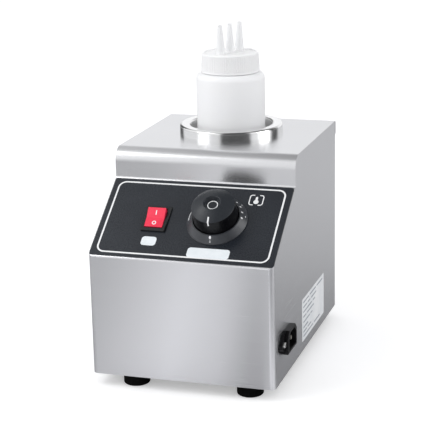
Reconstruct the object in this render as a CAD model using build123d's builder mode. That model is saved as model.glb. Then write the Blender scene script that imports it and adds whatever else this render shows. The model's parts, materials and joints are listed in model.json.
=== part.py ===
from build123d import *

import os
from collections import namedtuple
from math import atan2, cos, hypot, isclose, radians, sin, tan

# A countertop warmer for one squeeze bottle of topping sauce. Millimetres, +Z up, front towards -Y.
# The origin is on the floor, in the middle of the whole footprint.

os.makedirs("parts", exist_ok=True)

# ---------------------------------------------------------------- driving dimensions

# Sheet metal case
WIDTH = 180.0
DEPTH = 250.0
HEIGHT = 202.0  # case without its feet
FRONT_HEIGHT = 117.0  # upright lower front wall
PANEL_RISE = 56.0  # slanted control panel
PANEL_SETBACK = 80.0
SHEET = 1.0
CORNER_R = 5.0  # outside of the upright front corners
CROWN_R = 13.0  # outside of the fold from brow to top
FOLD_R = 2.5  # outside of every other fold
LIP = 6.0  # of the front wall folded back along the panel
FLANGE = 14.0  # inward and downward flanges that carry the rear panel
NOTCH = 1.0  # relief between neighbouring flanges
FIT = 0.2  # loose fit of one sheet inside another

# Feet and what holds them
FOOT_HEIGHT = 12.0
FOOT_R = 12.7
FOOT_ROUND = 2.0  # of its lower edge
FOOT_LEFT_INSET = 38.5  # from the side walls
FOOT_RIGHT_INSET = 28.5
FOOT_INSET_Y = 17.0  # from the front and the rear
FOOT_SINK = 6.0  # depth of the recess for the screw's head, and what is left over its floor
BRACKET_T = 1.5
BRACKET_WIDTH = 24.0
BRACKET_HEIGHT = 18.0
BRACKET_PAST = 12.0  # beyond the foot's screw

# Screws, studs and nuts
Screw = namedtuple("Screw", "shank_r head_r head_height nut_r nut_height")
M4 = Screw(shank_r=2.0, head_r=4.0, head_height=2.4, nut_r=4.0, nut_height=3.2)
M3 = Screw(shank_r=1.5, head_r=2.9, head_height=1.9, nut_r=3.1, nut_height=2.4)
CROSS_WIDTH = 0.7
HOLE_GAP = 0.2  # round a shank in a clearance hole
THREAD_GAP = 0.05  # round a shank in its thread

# Rear panel and base plate
REAR_MARGIN = 1.0
REAR_SCREW_LOW = 34.0  # above the case's lower edge
REAR_SCREW_HIGH = 22.0  # below its upper edge, and a third screw halfway
REAR_TOP_SCREW_X = 45.0
REAR_SCREW_LENGTH = 8.0
VENT_LENGTH = 46.0
VENT_WIDTH = 4.0
VENT_PITCH = 10.0
VENT_ROWS = 7
VENT_SPREAD = 60.0  # between the middles of the rear panel's two columns
REAR_VENT_Z = 62.0  # middle of the vents above the case's lower edge
BASE_VENT_ROWS = 9

# Well, the pot that the bottle stands in
WELL_X = -2.0  # from the middle of the case
WELL_Y = 54.0
WELL_R = 41.5
WELL_DEPTH = 140.0
POT_T = 1.0
POT_FLOOR_R = 7.0
COLLAR_R = 52.1
COLLAR_HEIGHT = 8.7
COLLAR_EDGE_R = 2.2
POT_HOLE_GAP = 0.8

# Heater, insulation, cut-out
HEATER_T = 2.5
HEATER_HEIGHT = 60.0
HEATER_LOW = 22.0  # above the underside of the pot
HEATER_GAP = 0.1
HEATER_SPLIT = 24.0  # degrees left open at the rear
EAR_LENGTH = 9.0
EAR_T = 1.5
WOOL_T = 9.0
WOOL_SPLIT = 50.0
WOOL_HEIGHT = 84.0
CUTOUT_R = 8.0
CUTOUT_HEIGHT = 9.0
CUTOUT_PITCH = 24.0
CUTOUT_PLATE_T = 1.0
STUD_LENGTH = 7.0

# Control film
FILM_T = 0.4
FILM_SIDE = 0.8
FILM_END = 1.5
FILM_CORNER_R = 2.0
PLATE_T = 0.3
PLATE_CORNER_R = 3.0
SWITCH_PLATE = (14.5, 10.3)
SWITCH_PLATE_AT = (-35.2, 21.6)
DIAL_PLATE = (40.6, 11.0)
DIAL_PLATE_AT = (25.2, 12.0)

# Rocker switch, measured from the middle of the case and up the slant
SWITCH_X = -34.6
SWITCH_S = 48.0
SWITCH_FRAME_WIDTH = 24.6
SWITCH_FRAME_LENGTH = 29.8
SWITCH_FRAME_H = 2.2
SWITCH_BEVEL = 0.7
SWITCH_CORNER_R = 1.0
SWITCH_BODY_WIDTH = 21.6
SWITCH_BODY_LENGTH = 28.0
SWITCH_DEPTH = 22.0
SWITCH_CUT_GAP = 0.3
SNAP = 0.7  # reach of the ramps that hold it behind the sheet
SNAP_LENGTH = 6.0
ROCKER_WIDTH = 17.6
ROCKER_R = 10.2  # half its length, about the pivot
ROCKER_TILT = 12.0  # degrees from the middle position
ROCKER_WING = 7.0  # degrees by which each half of its face rises from the waist
ROCKER_GAP = 0.4
ROCKER_UNDER = 1.5  # room under it
ROCKER_RISE = 4.4  # its waist above the pivot
PIVOT_H = -0.4  # above the panel
PIVOT_R = 1.3
RUNNING = 0.05
BLADE_T = 0.8
BLADE_WIDTH = 6.3
BLADE_LENGTH = 8.0
BLADE_X = 5.5
BLADE_S = 8.0

# Thermostat, dial and knob
KNOB_X = 24.8
KNOB_S = 50.6
BEZEL_R = 29.0
BEZEL_EDGE = 1.2
BEZEL_HEIGHT = 7.6
BEZEL_BORE_R = 22.3
BEZEL_LAND = 1.2  # width of its flat upper edge
BEZEL_PEG_R = 2.0
BEZEL_PEG_AT = 25.0
BEZEL_PEG_LENGTH = 4.0
KNOB_R = 21.7
KNOB_TOP_R = 20.5
KNOB_BASE = 3.0  # above the panel
KNOB_HEIGHT = 19.5  # base to rim
KNOB_DOME = 5.6
KNOB_DISH_R = 7.9
KNOB_DISH_FLOOR_R = 5.8
KNOB_DISH = 3.8
KNOB_EDGE_R = 0.8
KNOB_WALL = 2.4
KNOB_HUB_R = 6.5
SHAFT_R = 3.0
SHAFT_FLAT = 0.9
SHAFT_TOP = 19.0
BUSH_R = 5.0
BUSH_TOP = 2.6
STAT_PLATE_WIDTH = 48.0
STAT_PLATE_LENGTH = 26.0
STAT_PLATE_R = 3.0
STAT_PLATE_T = 1.2
STAT_WIDTH = 38.0
STAT_LENGTH = 38.0
STAT_CORNER_R = 2.0
STAT_DEPTH = 28.0
STAT_PITCH = 28.0
STAT_SCREW_LENGTH = 6.0  # under the film's face
SHAFT_IN = 8.0  # length of the shaft in the thermostat
CAPILLARY_R = 1.0
BULB_R = 2.5
BULB_ROUND = 1.0
BULB_LENGTH = 58.0

# Mains inlet on the right wall, and the rating label
INLET_Y = -82.0
INLET_Z = 36.5  # above the case's lower edge
INLET_OUT = 6.0
INLET_EAR_T = 2.6
INLET_PITCH = 40.0
INLET_EAR_R = 5.8
INLET_SHROUD_WIDTH = 32.0
INLET_SHROUD_HEIGHT = 22.0
INLET_CAVITY_WIDTH = 25.0
INLET_CAVITY_HEIGHT = 17.0
INLET_CHAMFER = 5.0
INLET_CUT_WIDTH = 29.0
INLET_CUT_HEIGHT = 19.6
INLET_CUT_GAP = 0.2
INLET_EDGE_R = 0.8
INLET_IN = 15.0
INLET_CAVITY_DEPTH = 15.0
PIN_T = 2.0
PIN_WIDTH = 4.0
PIN_LENGTH = 12.0
PIN_SPREAD = 7.0
PIN_DROP = 2.0
TAB_LENGTH = 8.0
LABEL = (91.0, 43.5)
LABEL_Y = 23.0
LABEL_Z = 31.5
LABEL_T = 0.2
LABEL_CORNER_R = 1.5

# Bottle and cap
BOTTLE_R = 34.4
BOTTLE_WALL = 1.2
BOTTLE_ABOVE = 54.2  # its straight side above the case's top
BOTTLE_FOOT_R = 5.0
SHOULDER_R = 6.5
NECK_R = 25.8
NECK_HEIGHT = 16.6
CAP_HEIGHT = 19.3
CAP_R = 29.1
CAP_TOP_R = 28.1
CAP_BAND = 1.6
CAP_ABOVE = 0.5  # gap between shoulder and cap
CAP_FIT = 0.35
NECK_WALL = 1.4
CAP_RIM = 0.7
CAP_ROUND = 1.4
CAP_RIM_WIDTH = 2.6
SEAL_T = 1.0
SEAL_WIDTH = 3.0
TURRET_R = 15.0
NOZZLE_COUNT = 3
NOZZLE_PITCH = 15.6
NOZZLE_TURN = 70.0  # degrees from the front edge's direction
NOZZLE_SPLAY = 1.0
NOZZLE_LENGTH = 28.0
NOZZLE_R = 4.6
NOZZLE_TIP_R = 2.2
NOZZLE_BORE_R = 3.2
NOZZLE_TIP_BORE_R = 1.3

# Wiring and earth point
WIRE_R = 1.2  # over its insulation
EARTH_AT = (46.0, -44.0)
EARTH_STUD_LENGTH = 9.0
LUG_T = 0.8
LUG_REACH = 12.0
BARREL_LENGTH = 6.0
BARREL_R = 1.6

# ---------------------------------------------------------------- derived places

CASE_X = -INLET_OUT / 2  # the case stands this far from the middle of the whole footprint
LEFT = CASE_X - WIDTH / 2
RIGHT = CASE_X + WIDTH / 2
FRONT = -DEPTH / 2
REAR = DEPTH / 2
FRAME_Y = REAR - SHEET  # outside of the flanges, where the rear panel lies
BASE_Z = FOOT_HEIGHT
SILL_Z = BASE_Z + FRONT_HEIGHT
BROW_Y = FRONT + PANEL_SETBACK
TOP_Z = BASE_Z + HEIGHT
SLANT = atan2(PANEL_RISE, PANEL_SETBACK)
PANEL_LENGTH = hypot(PANEL_RISE, PANEL_SETBACK)
BROW_HEIGHT = TOP_Z - SILL_Z - PANEL_RISE
CROWN = min(CROWN_R, BROW_HEIGHT / 2)  # the fold leaves half of a low brow flat

# The control panel's own plane: x to the right, y up the slant, z out of the panel.
CONTROL = Plane(origin=(CASE_X, FRONT, SILL_Z), x_dir=(1, 0, 0), z_dir=(0, -sin(SLANT), cos(SLANT)))
OUTWARD = Axis((0, 0, 0), CONTROL.z_dir)
# The right wall: x backwards, y up from the case's lower edge, z outwards.
SIDE = Plane(origin=(RIGHT, 0, BASE_Z), x_dir=(0, 1, 0), z_dir=(1, 0, 0))
# Under the rear panel: x to the left from the case's middle, y up from its lower edge, z outwards.
BACK = Plane(origin=(CASE_X, FRAME_Y, BASE_Z), x_dir=(-1, 0, 0), z_dir=(0, 1, 0))


def side_cut(x, s):
    """The plane square to the panel through (x, s), whose x runs right and y out of the panel."""
    slope = CONTROL.y_dir
    return Plane(origin=CONTROL.from_local_coords((x, s, 0)), x_dir=(1, 0, 0), z_dir=-slope)


def slant_z(y, depth):
    """Height of the slanted sheet at y, this deep under its outside."""
    return SILL_Z + (y - FRONT) * tan(SLANT) - depth / cos(SLANT)


def skin(depth):
    """Side view of the cover, this deep under its outside, from the lip to the rear flange."""
    lip_y = FRONT + LIP * cos(SLANT) + depth * sin(SLANT)
    return [
        (lip_y, slant_z(lip_y, depth)),
        (BROW_Y + depth, slant_z(BROW_Y + depth, depth)),
        (BROW_Y + depth, TOP_Z - depth),
        (FRAME_Y - depth, TOP_Z - depth),
        (FRAME_Y - depth, TOP_Z - FLANGE),
    ]


def plan(depth):
    """Plan view of the wrap, this deep under its outside, from one rear flange to the other."""
    return [
        (LEFT + FLANGE, FRAME_Y - depth),
        (LEFT + depth, FRAME_Y - depth),
        (LEFT + depth, FRONT + depth),
        (RIGHT - depth, FRONT + depth),
        (RIGHT - depth, FRAME_Y - depth),
        (RIGHT - FLANGE, FRAME_Y - depth),
    ]


foot_left_x = LEFT + FOOT_LEFT_INSET
foot_right_x = RIGHT - FOOT_RIGHT_INSET
foot_spots = [
    (x, y)
    for x in (foot_left_x, foot_right_x)
    for y in (FRONT + FOOT_INSET_Y, REAR - FOOT_INSET_Y)
]
stat_screw_spots = [(KNOB_X - STAT_PITCH / 2, KNOB_S), (KNOB_X + STAT_PITCH / 2, KNOB_S)]
peg_spots = [(KNOB_X, KNOB_S - BEZEL_PEG_AT), (KNOB_X, KNOB_S + BEZEL_PEG_AT)]
inlet_screw_spots = [(INLET_Y - INLET_PITCH / 2, INLET_Z), (INLET_Y + INLET_PITCH / 2, INLET_Z)]
side_screw_x = (WIDTH - FLANGE) / 2 - SHEET
side_screw_top = HEIGHT - REAR_SCREW_HIGH
side_screw_heights = (REAR_SCREW_LOW, (REAR_SCREW_LOW + side_screw_top) / 2, side_screw_top)
side_screw_spots = [(x, z) for x in (-side_screw_x, side_screw_x) for z in side_screw_heights]
top_screw_spots = [(x, HEIGHT - FLANGE / 2) for x in (-REAR_TOP_SCREW_X, REAR_TOP_SCREW_X)]
rear_screw_spots = side_screw_spots + top_screw_spots


def cross_screws(seat, spots, screw, length):
    """Screws whose heads stand on the seat and whose shanks run back through it."""
    with BuildPart() as screws:
        with BuildSketch(seat):
            with Locations(*spots):
                Circle(screw.head_r)
        extrude(amount=screw.head_height)
        rims = edges().filter_by(GeomType.CIRCLE).group_by(Axis((0, 0, 0), seat.z_dir))[-1]
        fillet(rims, screw.head_height / 2)
        with BuildSketch(seat):
            with Locations(*spots):
                Circle(screw.shank_r)
        extrude(amount=-length)
        with BuildSketch(seat.offset(screw.head_height)):
            with Locations(*spots):
                Rectangle(screw.head_r, CROSS_WIDTH)
                Rectangle(CROSS_WIDTH, screw.head_r)
        extrude(amount=-screw.head_height / 2, mode=Mode.SUBTRACT)
    return screws


def hex_nuts(seat, spots, screw):
    """Nuts that stand on the seat."""
    with BuildPart() as nuts:
        with BuildSketch(seat):
            with Locations(*spots):
                RegularPolygon(screw.nut_r, 6)
                Circle(screw.shank_r + THREAD_GAP, mode=Mode.SUBTRACT)
        extrude(amount=screw.nut_height)
    return nuts


# ---------------------------------------------------------------- case

with BuildPart() as body_wrap:
    with BuildSketch(Plane.XY.offset(BASE_Z)):
        with BuildLine():
            outer = FilletPolyline(*plan(0), radius=[FOLD_R, CORNER_R, CORNER_R, FOLD_R])
            inner = FilletPolyline(
                *plan(SHEET),
                radius=[FOLD_R - SHEET, CORNER_R - SHEET, CORNER_R - SHEET, FOLD_R - SHEET],
            )
            Line(outer @ 0, inner @ 0)
            Line(outer @ 1, inner @ 1)
        make_face()
    extrude(amount=HEIGHT)
    # The walls stop under the cover.
    with BuildSketch(Plane.YZ.offset(LEFT)):
        with BuildLine():
            low = (FRONT - DEPTH, slant_z(FRONT - DEPTH, SHEET))
            corners = [low, *skin(SHEET)[1:3], (REAR + DEPTH, TOP_Z - SHEET)]
            edge = FilletPolyline(*corners, radius=[FOLD_R + SHEET, CROWN - SHEET])
            Polyline(edge @ 1, (REAR + DEPTH, TOP_Z + HEIGHT), (FRONT - DEPTH, TOP_Z + HEIGHT), edge @ 0)
        make_face()
    extrude(amount=WIDTH, mode=Mode.SUBTRACT)
    # Room for the cover's rear flange.
    with BuildSketch(Plane.YZ.offset(LEFT)):
        with Locations((FRAME_Y - FOLD_R, TOP_Z - FLANGE - NOTCH)):
            Rectangle(DEPTH, HEIGHT, align=(Align.MIN, Align.MIN))
    extrude(amount=WIDTH, mode=Mode.SUBTRACT)
    # The front wall folds back along the slant.
    with BuildSketch(Plane.YZ.offset(LEFT)):
        with BuildLine():
            lap_z = SILL_Z - CORNER_R
            corner = (FRONT + SHEET, slant_z(FRONT + SHEET, SHEET))
            outer = FilletPolyline((FRONT, lap_z), (FRONT, SILL_Z), skin(0)[0], radius=FOLD_R)
            inner = FilletPolyline((FRONT + SHEET, lap_z), corner, skin(SHEET)[0], radius=FOLD_R - SHEET)
            Line(outer @ 0, inner @ 0)
            Line(outer @ 1, inner @ 1)
        make_face()
    extrude(amount=WIDTH)
    with BuildSketch(Plane.XY.offset(BASE_Z)):
        with Locations((CASE_X, 0)):
            Rectangle(WIDTH, DEPTH)
        fillet(vertices().sort_by(Axis.Y)[:2], CORNER_R)
    extrude(amount=HEIGHT, mode=Mode.INTERSECT)
    # Inlet cut-out and its screw holes in the right wall.
    with BuildSketch(SIDE):
        with Locations((INLET_Y, INLET_Z)):
            Rectangle(INLET_CUT_WIDTH, INLET_CUT_HEIGHT)
        with Locations(*inlet_screw_spots):
            Circle(M3.shank_r + HOLE_GAP)
    extrude(amount=-2 * SHEET, mode=Mode.SUBTRACT)
    # Holes for the rear panel's screws.
    with BuildSketch(BACK):
        with Locations(*side_screw_spots):
            Circle(M3.shank_r + THREAD_GAP)
    extrude(amount=-SHEET, mode=Mode.SUBTRACT)
body_wrap.part.label = "body_wrap"
export_step(body_wrap.part, "parts/body_wrap.step")

with BuildPart() as top_cover:
    with BuildSketch(Plane.YZ.offset(LEFT)):
        with BuildLine():
            outer = FilletPolyline(*skin(0), radius=[FOLD_R, CROWN, FOLD_R])
            inner = FilletPolyline(*skin(SHEET), radius=[FOLD_R + SHEET, CROWN - SHEET, FOLD_R - SHEET])
            Line(outer @ 0, inner @ 0)
            Line(outer @ 1, inner @ 1)
        make_face()
    extrude(amount=WIDTH)
    with BuildSketch(CONTROL):
        with Locations((SWITCH_X, SWITCH_S)):
            Rectangle(SWITCH_BODY_WIDTH + 2 * SWITCH_CUT_GAP, SWITCH_BODY_LENGTH + 2 * SWITCH_CUT_GAP)
        with Locations((KNOB_X, KNOB_S)):
            Circle(BUSH_R + HOLE_GAP)
        with Locations(*stat_screw_spots):
            Circle(M4.shank_r + HOLE_GAP)
        with Locations(*peg_spots):
            Circle(BEZEL_PEG_R + HOLE_GAP)
    extrude(amount=-2 * SHEET, mode=Mode.SUBTRACT)
    with BuildSketch(Plane.XY.offset(TOP_Z)):
        with Locations((CASE_X + WELL_X, WELL_Y)):
            Circle(WELL_R + POT_T + POT_HOLE_GAP)
    extrude(amount=-2 * SHEET, mode=Mode.SUBTRACT)
    with BuildSketch(BACK):
        with Locations(*top_screw_spots):
            Circle(M3.shank_r + THREAD_GAP)
    extrude(amount=-SHEET, mode=Mode.SUBTRACT)
top_cover.part.label = "top_cover"
export_step(top_cover.part, "parts/top_cover.step")

with BuildPart() as rear_panel:
    with BuildSketch(BACK):
        with Locations((0, HEIGHT / 2)):
            RectangleRounded(WIDTH - 2 * REAR_MARGIN, HEIGHT - 2 * REAR_MARGIN, FOLD_R)
        with Locations(*rear_screw_spots):
            Circle(M3.shank_r + HOLE_GAP, mode=Mode.SUBTRACT)
        with Locations((0, REAR_VENT_Z)):
            with GridLocations(VENT_SPREAD, VENT_PITCH, 2, VENT_ROWS):
                SlotOverall(VENT_LENGTH, VENT_WIDTH, mode=Mode.SUBTRACT)
    extrude(amount=SHEET)
rear_panel.part.label = "rear_panel"
export_step(rear_panel.part, "parts/rear_panel.step")

rear_screws = cross_screws(BACK.offset(SHEET), rear_screw_spots, M3, REAR_SCREW_LENGTH)
rear_screws.part.label = "rear_screws"
export_step(rear_screws.part, "parts/rear_screws.step")

with BuildPart() as base_plate:
    with BuildSketch(Plane.XY.offset(BASE_Z)):
        plate_rear = FRAME_Y - SHEET - FIT
        plate_front = FRONT + SHEET + FIT
        with Locations((CASE_X, (plate_rear + plate_front) / 2)):
            Rectangle(WIDTH - 2 * SHEET - 2 * FIT, plate_rear - plate_front)
        fillet(vertices().sort_by(Axis.Y)[:2], CORNER_R - SHEET)
        fillet(vertices().sort_by(Axis.Y)[-2:], FOLD_R)
        with Locations(*foot_spots):
            Circle(M4.shank_r + HOLE_GAP, mode=Mode.SUBTRACT)
        with Locations((CASE_X, 0)):
            with GridLocations(0, VENT_PITCH, 1, BASE_VENT_ROWS):
                SlotOverall(VENT_LENGTH, VENT_WIDTH, mode=Mode.SUBTRACT)
    extrude(amount=SHEET)
base_plate.part.label = "base_plate"
export_step(base_plate.part, "parts/base_plate.step")

with BuildPart() as corner_brackets:
    for wall, reach, side in (
        (LEFT + SHEET, foot_left_x + BRACKET_PAST, 1),
        (RIGHT - SHEET, foot_right_x - BRACKET_PAST, -1),
    ):
        for y in (FRONT + FOOT_INSET_Y, REAR - FOOT_INSET_Y):
            low_z = BASE_Z + SHEET
            with BuildSketch(Plane.XZ.offset(-y - BRACKET_WIDTH / 2)):
                with BuildLine():
                    Polyline(
                        (wall, low_z),
                        (reach, low_z),
                        (reach, low_z + BRACKET_T),
                        (wall + side * BRACKET_T, low_z + BRACKET_T),
                        (wall + side * BRACKET_T, low_z + BRACKET_HEIGHT),
                        (wall, low_z + BRACKET_HEIGHT),
                        close=True,
                    )
                make_face()
            extrude(amount=BRACKET_WIDTH)
    with BuildSketch(Plane.XY.offset(BASE_Z)):
        with Locations(*foot_spots):
            Circle(M4.shank_r + HOLE_GAP)
    extrude(amount=BRACKET_HEIGHT, mode=Mode.SUBTRACT)
corner_brackets.part.label = "corner_brackets"
export_step(corner_brackets.part, "parts/corner_brackets.step")

# ---------------------------------------------------------------- feet

foot_names = ("front_left", "rear_left", "front_right", "rear_right")
for name, (x, y) in zip(foot_names, foot_spots):
    with BuildPart() as foot:
        with BuildSketch(Plane(origin=(x, y, 0), x_dir=(1, 0, 0), z_dir=(0, -1, 0))):
            with BuildLine():
                sunk_r = M4.head_r + 2 * HOLE_GAP
                Polyline(
                    (sunk_r, 0),
                    (FOOT_R, 0),
                    (FOOT_R, FOOT_HEIGHT),
                    (M4.shank_r + HOLE_GAP, FOOT_HEIGHT),
                    (M4.shank_r + HOLE_GAP, FOOT_SINK),
                    (sunk_r, FOOT_SINK),
                    close=True,
                )
            make_face()
        revolve(axis=Axis((x, y, 0), (0, 0, 1)))
        fillet(edges().group_by(Axis.Z)[0].sort_by(SortBy.LENGTH)[-1], FOOT_ROUND)
    foot.part.label = f"foot_{name}"
    export_step(foot.part, f"parts/foot_{name}.step")

foot_nut_z = BASE_Z + SHEET + BRACKET_T
foot_screws = cross_screws(
    Plane(origin=(0, 0, FOOT_SINK), x_dir=(1, 0, 0), z_dir=(0, 0, -1)),
    [(x, -y) for x, y in foot_spots],
    M4,
    foot_nut_z + M4.nut_height + M4.shank_r - FOOT_SINK,
)
foot_screws.part.label = "foot_screws"
export_step(foot_screws.part, "parts/foot_screws.step")

foot_nuts = hex_nuts(Plane.XY.offset(foot_nut_z), foot_spots, M4)
foot_nuts.part.label = "foot_nuts"
export_step(foot_nuts.part, "parts/foot_nuts.step")

# ---------------------------------------------------------------- well, heater and what is round it

well_centre = (CASE_X + WELL_X, WELL_Y)
WELL_AXIS = Axis((*well_centre, 0), (0, 0, 1))
WELL_PROFILE = Plane(origin=(*well_centre, 0), x_dir=(1, 0, 0), z_dir=(0, -1, 0))
COLLAR_Z = TOP_Z + COLLAR_HEIGHT
WELL_FLOOR = COLLAR_Z - WELL_DEPTH
POT_LOW = WELL_FLOOR - POT_T
POT_R = WELL_R + POT_T
cutout_stud_spots = [
    (well_centre[0] - CUTOUT_PITCH / 2, well_centre[1]),
    (well_centre[0] + CUTOUT_PITCH / 2, well_centre[1]),
]

with BuildPart() as well_pot:
    with BuildSketch(WELL_PROFILE):
        with BuildLine():
            outside = FilletPolyline(
                (0, POT_LOW),
                (POT_R, POT_LOW),
                (POT_R, COLLAR_Z - POT_T),
                (COLLAR_R - POT_T, COLLAR_Z - POT_T),
                (COLLAR_R - POT_T, TOP_Z),
                radius=[POT_FLOOR_R + POT_T, COLLAR_EDGE_R - POT_T, COLLAR_EDGE_R - POT_T],
            )
            inside = FilletPolyline(
                (0, WELL_FLOOR),
                (WELL_R, WELL_FLOOR),
                (WELL_R, COLLAR_Z),
                (COLLAR_R, COLLAR_Z),
                (COLLAR_R, TOP_Z),
                radius=[POT_FLOOR_R, COLLAR_EDGE_R, COLLAR_EDGE_R],
            )
            Line(outside @ 0, inside @ 0)
            Line(outside @ 1, inside @ 1)
        make_face()
    revolve(axis=WELL_AXIS)
    # Studs for the cut-out, welded under the floor.
    with BuildSketch(Plane.XY.offset(POT_LOW)):
        with Locations(*cutout_stud_spots):
            Circle(M3.shank_r)
    extrude(amount=-STUD_LENGTH)
well_pot.part.label = "well_pot"
export_step(well_pot.part, "parts/well_pot.step")

heater_low = POT_LOW + HEATER_LOW
heater_r = POT_R + HEATER_GAP
ear_out = heater_r + HEATER_T + EAR_LENGTH
clamp_r = ear_out - EAR_LENGTH / 2
ear_x = heater_r * sin(radians(HEATER_SPLIT / 2))
with BuildPart() as heater_band:
    with BuildSketch(Plane.XY.offset(heater_low)):
        with Locations(well_centre):
            Circle(heater_r + HEATER_T)
            Circle(heater_r, mode=Mode.SUBTRACT)
        with Locations((well_centre[0], well_centre[1] + heater_r)):
            Rectangle(2 * ear_x, 2 * EAR_LENGTH, mode=Mode.SUBTRACT)
        for side in (-1, 1):
            ear_middle = well_centre[0] + side * (ear_x + EAR_T / 2)
            with Locations((ear_middle, well_centre[1] + heater_r)):
                Rectangle(EAR_T, HEATER_T + EAR_LENGTH, align=(Align.CENTER, Align.MIN))
    extrude(amount=HEATER_HEIGHT)
    with BuildSketch(Plane.YZ.offset(well_centre[0] - 2 * ear_x)):
        with Locations((well_centre[1] + clamp_r, heater_low + HEATER_HEIGHT / 2)):
            Circle(M3.shank_r + HOLE_GAP)
    extrude(amount=4 * ear_x, mode=Mode.SUBTRACT)
heater_band.part.label = "heater_band"
export_step(heater_band.part, "parts/heater_band.step")

clamp_low = well_centre[0] - ear_x - EAR_T
clamp_span = 2 * (ear_x + EAR_T)
clamp_spot = (well_centre[1] + clamp_r, heater_low + HEATER_HEIGHT / 2)
heater_clamp_screw = cross_screws(
    Plane(origin=(clamp_low, 0, 0), x_dir=(0, -1, 0), z_dir=(-1, 0, 0)),
    [(-clamp_spot[0], clamp_spot[1])],
    M3,
    clamp_span + M3.nut_height + M3.shank_r,
)
heater_clamp_screw.part.label = "heater_clamp_screw"
export_step(heater_clamp_screw.part, "parts/heater_clamp_screw.step")

heater_clamp_nut = hex_nuts(Plane.YZ.offset(clamp_low + clamp_span), [clamp_spot], M3)
heater_clamp_nut.part.label = "heater_clamp_nut"
export_step(heater_clamp_nut.part, "parts/heater_clamp_nut.step")

wool_r = heater_r + HEATER_T + FIT
wool_low = heater_low - (WOOL_HEIGHT - HEATER_HEIGHT) / 2
with BuildPart() as insulation_wrap:
    with BuildSketch(Plane.XY.offset(wool_low)):
        with Locations(well_centre):
            Circle(wool_r + WOOL_T)
            Circle(wool_r, mode=Mode.SUBTRACT)
        split_x = (wool_r + WOOL_T) * sin(radians(WOOL_SPLIT / 2))
        with Locations(well_centre):
            Rectangle(2 * split_x, 2 * wool_r, align=(Align.CENTER, Align.MIN), mode=Mode.SUBTRACT)
    extrude(amount=WOOL_HEIGHT)
insulation_wrap.part.label = "insulation_wrap"
export_step(insulation_wrap.part, "parts/insulation_wrap.step")

with BuildPart() as thermal_cutout:
    with BuildSketch(Plane.XY.offset(POT_LOW)):
        with Locations(well_centre):
            SlotCenterToCenter(CUTOUT_PITCH, 2 * M3.nut_r)
            Circle(CUTOUT_R)
        with Locations(*cutout_stud_spots):
            Circle(M3.shank_r + HOLE_GAP, mode=Mode.SUBTRACT)
    extrude(amount=-CUTOUT_PLATE_T)
    with BuildSketch(Plane.XY.offset(POT_LOW - CUTOUT_PLATE_T)):
        with Locations(well_centre):
            Circle(CUTOUT_R)
    extrude(amount=CUTOUT_PLATE_T - CUTOUT_HEIGHT)
    with BuildSketch(Plane.XY.offset(POT_LOW - CUTOUT_HEIGHT)):
        with Locations(well_centre):
            with GridLocations(0, CUTOUT_R, 1, 2):
                Rectangle(BLADE_WIDTH, BLADE_T)
    extrude(amount=-BLADE_LENGTH)
thermal_cutout.part.label = "thermal_cutout"
export_step(thermal_cutout.part, "parts/thermal_cutout.step")

cutout_nuts = hex_nuts(
    Plane(origin=(0, 0, POT_LOW - CUTOUT_PLATE_T), x_dir=(1, 0, 0), z_dir=(0, 0, -1)),
    [(x, -y) for x, y in cutout_stud_spots],
    M3,
)
cutout_nuts.part.label = "cutout_nuts"
export_step(cutout_nuts.part, "parts/cutout_nuts.step")

# ---------------------------------------------------------------- control film and switch

with BuildPart() as control_film:
    with BuildSketch(CONTROL):
        with Locations((0, PANEL_LENGTH / 2)):
            RectangleRounded(WIDTH - 2 * FILM_SIDE, PANEL_LENGTH - 2 * FILM_END, FILM_CORNER_R)
        with Locations((SWITCH_X, SWITCH_S)):
            Rectangle(
                SWITCH_BODY_WIDTH + 2 * SWITCH_CUT_GAP,
                SWITCH_BODY_LENGTH + 2 * SWITCH_CUT_GAP,
                mode=Mode.SUBTRACT,
            )
        with Locations((KNOB_X, KNOB_S)):
            Circle(BUSH_R + HOLE_GAP, mode=Mode.SUBTRACT)
        with Locations(*stat_screw_spots):
            Circle(M4.shank_r + HOLE_GAP, mode=Mode.SUBTRACT)
        with Locations(*peg_spots):
            Circle(BEZEL_PEG_R + HOLE_GAP, mode=Mode.SUBTRACT)
    extrude(amount=FILM_T)
control_film.part.label = "control_film"
export_step(control_film.part, "parts/control_film.step")

SWITCH_SIDE = Plane(
    origin=CONTROL.from_local_coords((SWITCH_X, SWITCH_S, PIVOT_H)),
    x_dir=CONTROL.y_dir,
    z_dir=(1, 0, 0),
)  # x up the slant, y out of the panel, z to the right, about the rocker's pivot
rocker_end = ROCKER_R * cos(radians(ROCKER_WING))
rocker_wing = ROCKER_RISE + rocker_end * tan(radians(ROCKER_WING))
rocker_reach = hypot(rocker_end, rocker_wing)
switch_cavity = (ROCKER_WIDTH + 2 * ROCKER_GAP, 2 * (rocker_reach + ROCKER_GAP))

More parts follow.
